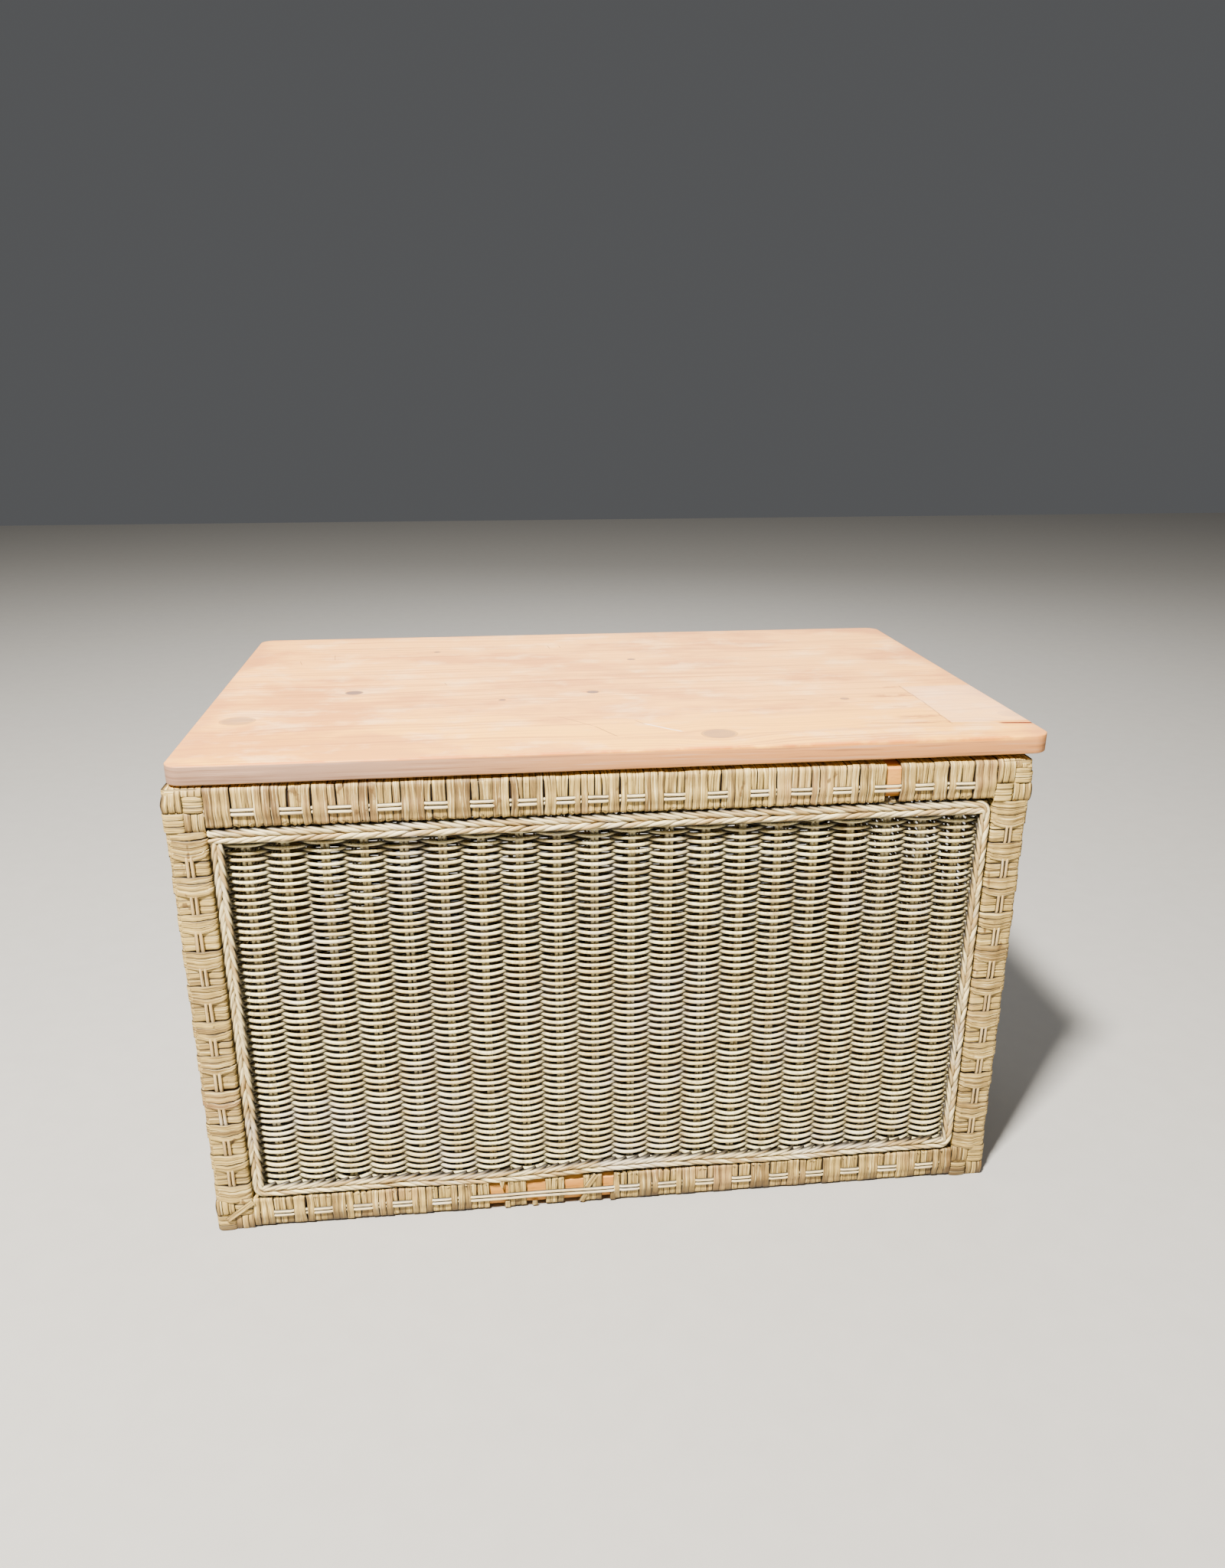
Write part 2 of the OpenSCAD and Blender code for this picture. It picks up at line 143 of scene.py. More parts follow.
SIDES = {name: side_axes(i) for i, name in enumerate(SIDE_NAMES)}
SIDE_LENGTH = {name: FRAME_SIZE[i % 2] for i, name in enumerate(SIDE_NAMES)}


def opening_half(name):
    """Half the width of a side's opening."""
    return SIDE_LENGTH[name] / 2 - POST


# ---- Mesh building ----

class Build:
    """Collects swept strands and writes them as one mesh. Each vertex carries the attribute strand:
    its distance along the strand, its distance across, and the strand's own number from 0 to 1. A second
    attribute, sunk, goes from 0 where a strand stands proud to 1 where it is tucked away: the cane
    materials paint shade by it, and on the lid it marks the underside."""

    def __init__(self):
        self.co, self.strand, self.sunk, self.polys = [], [], [], []
        self.count = 0

    def add(self, co, strand, polys, sunk=0.0):
        self.co.append(co.reshape(-1, 3))
        self.strand.append(strand.reshape(-1, 3))
        self.sunk.append(np.broadcast_to(sunk, co.shape[:-1]).ravel())
        self.polys += [p + self.count for p in polys]
        self.count += len(self.co[-1])

    def piece(self, name, material, body, nodes, slot):
        mesh = bpy.data.meshes.new(name)
        co = np.concatenate(self.co).astype(np.float32)
        mesh.vertices.add(len(co))
        mesh.vertices.foreach_set("co", co.ravel())
        sizes = np.concatenate([np.full(len(p), p.shape[1]) for p in self.polys])
        corners = np.concatenate([p.ravel() for p in self.polys]).astype(np.int32)
        starts = (np.cumsum(sizes) - sizes).astype(np.int32)
        mesh.loops.add(len(corners))
        mesh.loops.foreach_set("vertex_index", corners)
        mesh.polygons.add(len(sizes))
        mesh.polygons.foreach_set("loop_start", starts)
        mesh.polygons.foreach_set("use_smooth", np.ones(len(sizes), bool))
        mesh.update(calc_edges=True)
        layer = mesh.attributes.new("strand", "FLOAT_VECTOR", "POINT")
        layer.data.foreach_set("vector", np.concatenate(self.strand).astype(np.float32).ravel())
        layer = mesh.attributes.new("sunk", "FLOAT", "POINT")
        layer.data.foreach_set("value", np.concatenate(self.sunk).astype(np.float32))
        mesh.validate()
        mesh.materials.append(material)
        return attach(bpy.data.objects.new(name, mesh), body, nodes)


def attach(piece, body, nodes):
    """Puts a piece into the scene, on its body and in place of CAD nodes."""
    bpy.context.scene.collection.objects.link(piece)
    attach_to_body(piece, body)
    if nodes:
        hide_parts(*nodes)
    return piece


def unit(v):
    return v / np.maximum(np.linalg.norm(v, axis=-1, keepdims=True), 1e-12)


def skin(m, k, closed=False):
    """Faces round m rings of k corners each, and unless the rings close a loop, those of its two ends."""
    ring = np.arange(k)
    rows = np.arange(m if closed else m - 1)[:, None]
    here, after, turn = rows * k, (rows + 1) % m * k, (ring + 1) % k
    quads = np.stack([here + ring, here + turn, after + turn, after + ring], -1).reshape(-1, 4)
    return [quads] if closed else [quads, ring[::-1][None], (m - 1) * k + ring[None]]


def sweep(build, path, normal, outline, numbers, sunk=0.0, closed=False):
    """Sweeps closed outlines along many paths at once. path and normal are (strand, point, 3).
    outline is (strand, point, corner, 2): each corner's distance across the path and along normal."""
    n, m = path.shape[:2]
    k = outline.shape[2]
    if closed:
        ahead = np.roll(path, -1, 1) - np.roll(path, 1, 1)
        steps = np.linalg.norm(np.roll(path, -1, 1) - path, axis=-1)
    else:
        ahead = np.gradient(path, axis=1)
        steps = np.linalg.norm(np.diff(path, axis=1, append=path[:, -1:]), axis=-1)
    tangent = unit(ahead)
    normal = unit(normal - tangent * np.sum(normal * tangent, -1, keepdims=True))
    across = np.cross(tangent, normal)
    co = (path[:, :, None] + across[:, :, None] * outline[..., :1]
          + normal[:, :, None] * outline[..., 1:])
    along = np.cumsum(steps, axis=1) - steps
    strand = np.empty((n, m, k, 3))
    strand[..., 0] = along[..., None]
    strand[..., 1] = outline[..., 0] + outline[..., 1]
    strand[..., 2] = np.asarray(numbers).reshape(n, -1, 1)
    shift = (np.arange(n) * m * k)[:, None, None]
    build.add(co, strand, [(f + shift).reshape(-1, f.shape[1]) for f in skin(m, k, closed)], sunk)


def tubes(build, path, radius, normal, numbers, sunk=0.0, sides=8, flat=1.0, unshaded=(0.0, 1.0), behind=None):
    """Round rods along many paths. flat squeezes them along normal. The direction given after flat, across
    the path and along normal, stays unshaded: the rods' sides that face away from it get painted shade.
    For rods seen from both sides, behind is the index of that direction's part that turns over on the far
    side, and sunk is a pair: for the near and the far side."""
    n, m = path.shape[:2]
    angle = -2 * math.pi * (np.arange(sides) + 0.5) / sides
    circle = np.stack([np.cos(angle), flat * np.sin(angle)], -1)
    radius = np.broadcast_to(np.asarray(radius, float), (n, m))
    turned = circle.copy()
    if behind is not None:
        turned[:, behind] = np.abs(turned[:, behind])
        near = np.clip(0.5 + circle[:, behind], 0, 1)
        sunk = near * np.broadcast_to(sunk[0], (n, m))[..., None] + \
            (1 - near) * np.broadcast_to(sunk[1], (n, m))[..., None]
    else:
        sunk = np.broadcast_to(sunk, (n, m))[..., None]
    # Painted shade on the sides that face away from the unshaded direction
    facing = unshaded[0] * turned[:, 0] + unshaded[1] * turned[:, 1]
    painted_side_shade = 0.85 * np.clip((0.5 - facing) / 0.95, 0, 1)
    sunk = 1 - (1 - sunk) * (1 - painted_side_shade)
    sweep(build, path, np.broadcast_to(normal, path.shape), radius[..., None, None] * circle, numbers, sunk)


# Section of a flat cane strip: corners across from -1 to 1 and up from 0 to 1
STRIP_SECTION = np.array([(-1, 0), (-0.98, 0.5), (-0.87, 0.84), (-0.6, 0.97), (0, 1),
                          (0.6, 0.97), (0.87, 0.84), (0.98, 0.5), (1, 0)], float)
# Painted shade at each corner: a strip's edges are darkened, as shade between neighbouring strips
STRIP_EDGE_SHADE = np.array([1, 0.8, 0.4, 0.03, 0, 0.03, 0.4, 0.8, 1])


def strips(build, path, normal, width, numbers, thick=STRAP_THICK, closed=False):
    """Flat cane strips along many paths, their undersides on the paths."""
    n, m = path.shape[:2]
    width = np.broadcast_to(np.asarray(width, float).reshape(n, -1), (n, m))
    outline = np.empty((n, m, len(STRIP_SECTION), 2))
    outline[..., 0] = width[..., None] / 2 * STRIP_SECTION[:, 0]
    outline[..., 1] = thick * STRIP_SECTION[:, 1]
    sweep(build, path, normal, outline, numbers, STRIP_EDGE_SHADE, closed)


def bump(x, middle, width):
    """1 at middle, falling smoothly to 0 about width away, with a flat top."""
    return 1 / (1 + ((x - middle) / width) ** 4)


# ---- Woven panels ----

def panel_places(name):
    """Middles of the stake groups along a side, and the depth of the stakes' middle plane."""
    axes, index = SIDES[name], SIDE_NAMES.index(name)
    low, high = limits(f"stakes_{name}")
    half = (high - low)[index % 2] / 2 - STAKE_PAIR / 2 - (high - low)[1 - index % 2] / 2 + 3 * MM
    depth = abs(((low + high) / 2 - axes.origin) @ axes.rows[1])
    return np.linspace(-half, half, GROUPS[name]), depth


def weave_panel(name, material, bands):
    """Single rods woven over one group of stakes and under the next, in pieces of several rows."""
    axes = SIDES[name]
    groups, depth = panel_places(name)
    pitch = groups[1] - groups[0]
    rows = round((OPENING_HIGH - OPENING_LOW - 3 * MM) / ROW_PITCH)
    x = np.linspace(-opening_half(name) + 3 * MM, opening_half(name) - 3 * MM, 11 * len(groups))
    t = (x - groups[0]) / pitch
    near = np.clip(np.rint(t), 0, len(groups) - 1).astype(int)
    window = np.cos(math.pi * np.clip(t - near, -0.5, 0.5)) ** 2
    z0 = OPENING_LOW + 2 * MM + (np.arange(rows) + 0.5) * ROW_PITCH
    turn = np.where(np.arange(rows) % 2, 1.0, -1.0)
    height = (z0 - OPENING_LOW) / (OPENING_HIGH - OPENING_LOW)
    sag = (1.45 - 1.0 * height) * MM
    wave = np.cos(math.pi * t)[None] * turn[:, None]
    bow = wave * (1.28 - 0.28 * wave ** 2)
    floats = chance.normal(0, 1, (4, rows, len(groups)))
    stray = np.where(chance.random((rows, len(groups))) < 0.02, 3.0, 1.0)
    nudge = window * (floats[0] * stray)[:, near]
    slow = sum(np.sin(x[None] * f + chance.random((rows, 1)) * 6.28) for f in (9, 23, 41)) / 3
    sway = 0.7 * MM * np.sin(x[None] * 11 + height[:, None] * 5) * np.sin(height[:, None] * 3.1)
    z = z0[:, None] - sag[:, None] * wave * (1 + 0.22 * (window * floats[1][:, near]))
    z = z + nudge * 0.2 * MM + slow * 0.22 * MM + sway
    y = depth - bow * (ROD_SWING + 0.2 * MM * window * floats[2][:, near])
    thick = ROD_R * (1.06 - 0.17 * height[:, None] + 0.04 * wave + 0.04 * chance.normal(0, 1, (rows, 1))
                     + 0.03 * window * floats[3][:, near])
    # Painted shade: each side of a rod is darkened where, seen from that side, it passes behind the stakes
    sunk, far = np.clip(0.5 - 0.62 * bow, 0, 1), np.clip(0.5 + 0.62 * bow, 0, 1)
    path = axes.place(np.stack([np.broadcast_to(x, z.shape), y, z], -1))
    number = np.clip(chance.random((rows, 1)) * 0.3 + 0.35 + 0.14 * window * floats[0][:, near], 0, 1)
    edges = np.linspace(0, rows, bands + 1).astype(int)
    for band, (a, b) in enumerate(zip(edges[:-1], edges[1:])):
        build = Build()
        tubes(build, path[a:b], thick[a:b], UP, number[a:b], (sunk[a:b], far[a:b]), unshaded=(0.85, 0.53),
              behind=0)
        build.piece(f"woven_rods_{name}_{band + 1}", material, "carcass", [f"weave_{name}"], "woven_rattan")


def stake_panel(name, material):
    """Pairs of upright rods that the others are woven round."""
    groups, depth = panel_places(name)
    x0 = (groups[:, None] + [-STAKE_PAIR / 2, STAKE_PAIR / 2]).ravel()
    low, high = limits(f"stakes_{name}")
    z = np.linspace(low[2], high[2], 30)
    lean = chance.normal(0, 0.25 * MM, (len(x0), 1))
    bend = np.sin(z[None] * 14 + chance.random((len(x0), 1)) * 6) * 0.2 * MM
    x = x0[:, None] + lean * (z[None] - z[0]) / (z[-1] - z[0]) + bend
    path = SIDES[name].place(np.stack([x, np.full_like(x, depth), np.broadcast_to(z, x.shape)], -1))
    build = Build()
    radius = STAKE_R * (1 + 0.02 * chance.normal(0, 1, (len(x0), 1)))
    # Painted shade only on the stakes' sides, which face along the panel
    tubes(build, path, radius, -SIDES[name].rows[1], 0.4 * chance.random(len(x0)), (0.0, 0.0), behind=1)
    build.piece(f"stake_rods_{name}", material, "carcass", [f"stakes_{name}"], "stake_rattan")


# ---- Braid ----

class Loop:
    """The middle line of a panel's braid, clockwise from its upper left corner, seen from outside."""

    def __init__(self, name):
        low, high = limits(f"braid_{name}")
        half = opening_half(name)
        self.side_w, self.level_h = 14.5 * MM, 17.0 * MM
        x1, z0 = half - self.side_w / 2, low[2] + self.level_h / 2
        z1 = high[2] - self.level_h / 2 - 1.2 * MM
        r = 5.5 * MM
        points, outward = [(-half + 1.5 * MM, z1)], [(0, 1)]
        for cx, cz, start in ((x1, z1, math.pi / 2), (x1, z0, 0.0), (-x1, z0, -math.pi / 2)):
            sx, sz = (-1 if cx < 0 else 1), (-1 if cz == z0 else 1)
            for a in start - np.linspace(0, 1, 9) * math.pi / 2:
                points.append((cx - sx * r + r * math.cos(a), cz - sz * r + r * math.sin(a)))
                outward.append((math.cos(a), math.sin(a)))
        points, outward = points + [(-x1, z1 - 3 * MM)], outward + [(-1, 0)]
        self.points, self.outward = np.array(points), np.array(outward)
        steps = np.linalg.norm(np.diff(self.points, axis=0), axis=1)
        self.s = np.concatenate([[0], np.cumsum(steps)])
        self.length = self.s[-1]

    def at(self, s):
        """Middle point, outward direction and half width of the braid at distances s."""
        s = np.clip(s, 0, self.length)
        pick = lambda v: np.interp(s, self.s, v)
        x, z = pick(self.points[:, 0]), pick(self.points[:, 1])
        ox, oz = pick(self.outward[:, 0]), pick(self.outward[:, 1])
        size = np.hypot(ox, oz)
        ox, oz = ox / size, oz / size
        half = (self.side_w * ox ** 2 + self.level_h * oz ** 2) / 2
        return x, z, ox, oz, half


def braid(name, material):
    """Two rows of slanting rods that run in towards the middle line and dive under each other there."""
    loop, axes = Loop(name), SIDES[name]
    low, high = limits(f"braid_{name}")
    depth = abs(((low + high) / 2 - axes.origin) @ axes.rows[1])
    build = Build()
    count = round(loop.length / BRAID_PITCH)
    t = np.linspace(0, 1, 22)
    for row in (1, -1):
        start = np.arange(-3, count) + 0.5 * (row < 0) + chance.normal(0, 0.08, count + 3)
        start = start * loop.length / count
        level = loop.at(start)[3] ** 2
        reach = BRAID_REACH[0] * (1 - level) + BRAID_REACH[1] * level
        reach = reach * (1 + 0.06 * chance.normal(0, 1, count + 3))
        s = start[:, None] + t[None] * reach[:, None]
        inside = np.clip((s + 4 * MM) / (4 * MM), 0, 1) * np.clip((loop.length - s) / (6 * MM), 0, 1)
        s = np.clip(s, 0, loop.length)
        x, z, ox, oz, half = loop.at(s)
        across = row * (half - 2.0 * MM) * (1 - 1.12 * t ** 1.1)[None]
        rise = np.sin(math.pi * np.clip(t * 0.94 + 0.06, 0, 1)) ** 0.7
        y = depth + 1.9 * MM - rise[None] * 5.0 * MM + 1.2 * MM * (across / half) ** 2
        y = y + chance.normal(0, 0.2 * MM, (count + 3, 1)) + 2.2 * MM * (1 - inside)
        if name == "front":
            foot = np.clip(-oz, 0, 1)
            z = z - foot * (3.6 * MM * bump(x, -118 * MM, 55 * MM) + 1.6 * MM * bump(x, 170 * MM, 50 * MM)
                            - 1.2 * MM * bump(x, 40 * MM, 60 * MM))
        local = np.stack([x + ox * across, y, z + oz * across], -1)
        local[..., 0] += t[None] * 0.03 * MM
        keep = np.ptp(s, axis=1) > 9 * MM
        taper = 1 - 0.3 * np.abs(2 * t - 1) ** 3
        radius = BRAID_R * taper[None] * (1 + 0.07 * chance.normal(0, 1, (keep.sum(), 1)))
        # Painted shade: each rod darkens towards its ends, where it dives under its neighbours, and on its
        # flanks
        tubes(build, axes.place(local[keep]), radius, -axes.rows[1], chance.random(keep.sum()),
              np.broadcast_to(1.0 - rise[None] ** 1.5, (keep.sum(), len(t))), unshaded=(0.5 * row, 0.87))
    build.piece(f"braid_rods_{name}", material, "carcass", [f"braid_{name}"], "braid_rattan")


# ---- Cane wrapping ----

def section(width, height, liner, second_liner=None, radii=(EDGE_R, EDGE_R)):
    """Closed outline round a bar, from its outer face: points and outward directions as (inward, up),
    how much each point lies over a pair of liner strands, and an arc from edge to edge of such a face.
    radii are those of the edges below and above."""
    low, high = radii
    face = np.linspace(low, height - high, 15)
    other = np.linspace(width - low, low, 15 if second_liner else 5)
    arc = np.array([0.25, 0.5, 0.75]) * math.pi / 2
    points, outs = [], []

    def line(p, q, direction):
        for a, b in zip(p, q):
            points.append((a, b))
            outs.append(direction)

    def corner(cx, cz, start, r):
        for a in start - arc:
            points.append((cx + r * math.cos(a), cz + r * math.sin(a)))
            outs.append((math.cos(a), math.sin(a)))

    line(np.zeros(15), face, (-1, 0))
    corner(high, height - high, math.pi, high)
    line(np.linspace(high, width - high, 5), np.full(5, height), (0, 1))
    corner(width - high, height - high, math.pi / 2, high)
    line(np.full(5, width), np.linspace(height - high, low, 5), (1, 0))
    corner(width - low, low, 0, low)
    line(other, np.zeros(len(other)), (0, -1))
    corner(low, low, -math.pi / 2, low)
    points, outs = np.array(points), np.array(outs)
    swell = bump(points[:, 1], liner, OVER_REACH) * (outs[:, 0] < -0.99)
    arc = (1 - (2 * points[:, 1] / height - 1) ** 2) * (outs[:, 0] < -0.99)
    if second_liner:
        swell = swell + bump(points[:, 0], second_liner, OVER_REACH) * (outs[:, 1] < -0.99)
        arc = arc + (1 - (2 * points[:, 0] / width - 1) ** 2) * (outs[:, 1] < -0.99)
    return points, outs, swell, arc


def strap_row(pattern, start, length):
    """Places straps along a bar. pattern is a list of (over, how many, size of each); sizes are in
    proportion and fill the length."""
    over = np.concatenate([np.full(many, o) for o, many, size in pattern]).astype(float)
    width = np.concatenate([np.full(many, size) for o, many, size in pattern])
    width = width * (1 + 0.05 * chance.normal(0, 1, len(over)))
    width *= length / width.sum()
    return start + np.cumsum(width) - width / 2, width, over


def wind(build, axes, outline, middles, widths, over, dip, spread=0.0, lift=0.55 * MM, level_inset=0.0,
         darker=0.3):
    """Winds closed straps round a bar whose section is outline. Axes run along, inward and up it. Over
    the liners' faces each strap dips along the bar, and widens by spread. Over straps are darker."""
    points, outs, swell, arc = outline
    n, m = len(middles), len(points)
    rough = 0.12 * MM * chance.normal(0, 1, (n, 1))
    out = (-STRAP_TOP - STRAP_THICK + over[:, None] * (lift + OVER_RISE * swell[None])
           - (1 - over[:, None]) * 0.1 * MM * swell[None] + rough)
    out = out - level_inset * np.abs(outs[None, :, 1])
    flat = points[None] + outs[None] * out[..., None]
    ring = np.arange(m) / m * 2 * math.pi
    slant = 0.5 * MM * np.sin(ring)[None] * chance.normal(0, 1, (n, 1))
    along = middles[:, None] + dip[:, None] * arc[None] + slant
    path = axes.place(np.concatenate([along[..., None], flat], -1))
    normal = axes.turn(np.concatenate([np.zeros((m, 1)), outs], -1))
    tone = np.clip(0.35 + darker * over + 0.15 * chance.normal(0, 1, n), 0, 1)
    wide = widths[:, None] * STRAP_FILL + spread * over[:, None] * arc[None]
    strips(build, path, np.broadcast_to(normal, path.shape), wide, tone, closed=True)


def liner_pair(build, axes, where, start, end, middles, over, tone):
    """Two strands along a bar's outer face: proud between the over straps and pressed under them."""
    x = np.arange(start, end, 1.6 * MM)
    covered = np.interp(x, middles, over)
    depth = STRAP_TOP - LINER_DIP + LINER_DIP * np.clip(covered * 1.6 - 0.3, 0, 1)
    slow = 0.25 * MM * np.sin(x * 40 + chance.random() * 6)
    for offset in (-LINER_HALF, LINER_HALF):
        shake = 0.12 * MM * np.sin(x * 90 + chance.random() * 6)
        local = np.stack([x, depth, where + offset + slow + shake], -1)[None]
        number = tone + 0.2 * chance.random(1)
        # Painted shade: the strands' sides that face down and in are darkened, and all of them slightly
        tubes(build, axes.place(local), LINER_R, -axes.rows[1], number, 0.08, flat=LINER_FLAT,
              unshaded=(0.5, 0.87))


def rail(name, level, cane, liner_mat):
    """The wrapping and liner strands of one rail."""
    axes, half = SIDES[name], opening_half(name)
    top = level == "top"
    low, high = (OPENING_HIGH - 1.4 * MM, FRAME_TOP) if top else (0.0, OPENING_LOW + 0.6 * MM)
    liner = TOP_LINER_Z if top else BOTTOM_LINER_Z
    bar = Axes(axes.place(np.array([0, 0, low])), *axes.rows)
    edge = EDGE_R if name in ("front", "back") else SIDE_TOP_R
    outline = section(RAIL_T, high - low, liner - low, radii=(TUCK_R, edge) if top else (EDGE_R, TUCK_R))
    pattern = [(1, 3, 6.9)] + [(0, 3, 6.3), (1, 3, 6.9)] * EXPOSURES[name]
    if name == "front" and top:
        pattern = [(1, 3, 7.7)]
        for group in range(1, 19):
            near_end = group < 7
            pattern += [(0, 3, 6.5 if near_end else 5.8), (1, 3, 7.3)]
            if group in (8, 9):
                pattern[-1] = (1, 2, 6.0) if group == 8 else (1, 3, 5.7)
            elif group in (7, 10):
                pattern[-1] = (1, 3, 6.0)
    middles, widths, over = strap_row(pattern, -half, 2 * half)
    keep = np.ones(len(middles), bool)
    if name == "front":
        keep = worn_straps(top, middles, over, half)
    build = Build()
    wind(build, bar, outline, middles[keep], widths[keep], over[keep],
         0.5 * MM * chance.normal(0, 1, keep.sum()), level_inset=1.0 * MM)
    if name == "front":
        loose_straps(build, bar, top)
    build.piece(f"cane_{level}_rail_{name}", cane, "carcass", [f"{level}_rail_wrap_{name}"], "cane_wrap")
    strands = Build()
    liner_pair(strands, bar, liner - low, -half, half, middles, over * keep, 0.0)
    strands.piece(f"liner_strands_{level}_{name}", liner_mat, "carcass", [f"liners_{name}"], "liner_cane")


def worn_straps(top, middles, over, half):
    """The front rails' straps that are still there: some have broken away."""
    from_left = middles + half + POST
    low, high = BARE_TOP if top else BARE_BOTTOM
    return ~((from_left > low) & (from_left < high) & (top | (over > 0.5)))


def loose_straps(build, bar, top):
    """Torn ends of straps on a front rail, each curling out a little."""
    t = np.linspace(0, 1, 12)
    for x0, z0, x1, z1, w0, w1 in TORN_TOP if top else TORN_BOTTOM:
        x = (x0 + t * (x1 - x0)) * MM - SIDE_LENGTH["front"] / 2
        lift = (-0.9 + 1.3 * t ** 1.5) * MM + (2.2 * MM if x0 < 40 else 0)
        path = np.stack([x, -lift, (z0 + t * (z1 - z0)) * MM], -1)[None]
        normal = np.broadcast_to(-bar.rows[1], path.shape)
        width = (w0 + t * (w1 - w0))[None] * MM
        strips(build, bar.place(path), normal, width, 0.2 + 0.5 * chance.random(1))


def post(corner, cane, liner_mat):
    """The wrapping and liner strands of one corner post, seen on its two outer faces."""
    across, along = corner.split("_")
    sx = 1 if along == "right" else -1
    sy = 1 if across == "back" else -1
    origin = FRAME_MID * [1, 1, 0] + [sx * FRAME_SIZE[0] / 2, sy * FRAME_SIZE[1] / 2, 0]
    bar = Axes(origin, UP, [0, -sy, 0], [-sx, 0, 0])
    outline = section(POST, POST, POST / 2, POST / 2)
    tucked, proud = (0, 3, 6.8), (1, 3, 5.4)
    pattern = [proud] + [tucked, proud] * (POST_EXPOSURES - 1) + [tucked, (1, 4, 5.5)]
    middles, widths, over = strap_row(pattern, POST_LOW, POST_HIGH - POST_LOW)
    above = np.concatenate([np.arange(many)[::-1] for o, many, size in pattern])
    dip = -SMILE * (above + 0.5) * over
    build = Build()
    wind(build, bar, outline, middles, widths, over, dip, SMILE, 0.8 * MM, darker=0.12)
    for low, high in ((0.4 * MM, POST_LOW), (POST_HIGH, FRAME_TOP - 1.6 * MM)):
        m, w, o = strap_row([(0, 5, 1)], low, high - low)
        wind(build, bar, outline, m, w, o, 0 * m)
    build.piece(f"cane_post_{corner}", cane, "carcass", [f"post_wrap_{corner}"], "cane_wrap")
    strands = Build()
    faces = (bar, Axes(origin, UP, [-sx, 0, 0], [0, -sy, 0]))
    for face in faces:
        liner_pair(strands, face, POST / 2, POST_LOW, POST_HIGH, middles, over, 0.7)
    side = across if across == "front" else "back"
    strands.piece(f"liner_strands_post_{corner}", liner_mat, "carcass", [f"liners_{side}"], "liner_cane")


# ---- Corner blocks ----

def strip_line(length, turns, run, radius=5.0 * MM, lift=0.85 * MM, tuck=0.9 * MM):
    """Side view of one strip of a corner block: points and normals as (along, outward). It rises from
    under its neighbour, and at its end either goes under again or bends round the frame's edge."""
    points, normals = [], []
    flat = length - (radius if turns else 0)
    for t in np.linspace(0, 1, 9):
        shape = math.sin(math.pi / 2 * min(1, 2 * t)) if turns else math.sin(math.pi * t)
        points.append((t * flat, -tuck + (lift + tuck) * max(shape, 0) ** 0.6))
        normals.append((0, 1))
    if turns:
        bend = radius + lift
        for a in np.linspace(0, math.pi / 2, 8)[1:]:
            points.append((flat + bend * math.sin(a), bend * math.cos(a) - radius))
            normals.append((math.sin(a), math.cos(a)))
        x = points[-1][0]
        for t in np.linspace(0, 1, 6)[1:]:
            points.append((x - (lift + tuck) * max(0, 2 * t - 1) ** 2, -radius - t * run))
            normals.append((1, 0))
    return np.array(points), np.array(normals)


def block(build, axes, start, size, along_first, turns=False, run=0.0, flip=False):
    """Three strips side by side. axes run across, inward and up a face; start is the block's low corner.
    Strips run along the first direction or the third, and may turn round the edge at their far end."""
    length, across = size if along_first else size[::-1]
    line, normals = strip_line(length, turns, run)
    if flip:
        line, normals = line * [-1, 1] + [length, 0], normals * [-1, 1]
    count = 3
    widths = across / count * (1 + 0.04 * chance.normal(0, 1, count))
    widths *= across / widths.sum()
    middles = np.cumsum(widths) - widths / 2
    m = len(line)
    local, normal = np.zeros((count, m, 3)), np.zeros((count, m, 3))
    run_axis, stack_axis = (0, 2) if along_first else (2, 0)
    local[..., run_axis] = start[0 if along_first else 1] + line[None, :, 0]
    local[..., stack_axis] = start[1 if along_first else 0] + middles[:, None]
    local[..., 1] = STRAP_TOP - line[None, :, 1] + 0.12 * MM * chance.normal(0, 1, (count, 1))
    normal[..., run_axis] = normals[None, :, 0]
    normal[..., 1] = -normals[None, :, 1]
    if flip:
        local, normal = local[:, ::-1], normal[:, ::-1]
    tone = np.clip(0.3 + 0.3 * (not along_first) + 0.2 * chance.normal(0, 1, count), 0, 1)
    strips(build, round_corner(axes.place(local)), axes.turn(normal), widths * 0.985, tone, thick=0.9 * MM)


def round_corner(points):
    """Draws points near the frame's top corners in, so that those corners are rounder than its edges."""
    reach, depth = 15 * MM, 1.6 * MM
    near = [np.clip(1 - (FRAME_SIZE[i] / 2 - np.abs(points[..., i] - FRAME_MID[i])) / reach, 0, 1)
            for i in (0, 1)]
    near.append(np.clip(1 - (FRAME_TOP - points[..., 2]) / reach, 0, 1))
    pull = depth * np.clip(near[0] * near[1] * near[2] * 1.9, 0, 1) ** 0.8
    points = points - np.sign(points - FRAME_MID) * pull[..., None]
    soft = SIDE_TOP_R + 4 * MM * (0.4 - near[1])
    side = np.abs(points[..., 0] - FRAME_MID[0]) - (FRAME_SIZE[0] / 2 - soft)
    rise = points[..., 2] - (FRAME_TOP - soft)
    far = np.maximum(np.hypot(side, rise), 1e-9)
    cut = np.where((side > 0) & (rise > 0) & (far > soft), 0.7 * (soft / far - 1), 0)
    points[..., 0] += np.sign(points[..., 0] - FRAME_MID[0]) * side * cut
    points[..., 2] += rise * cut
    return points


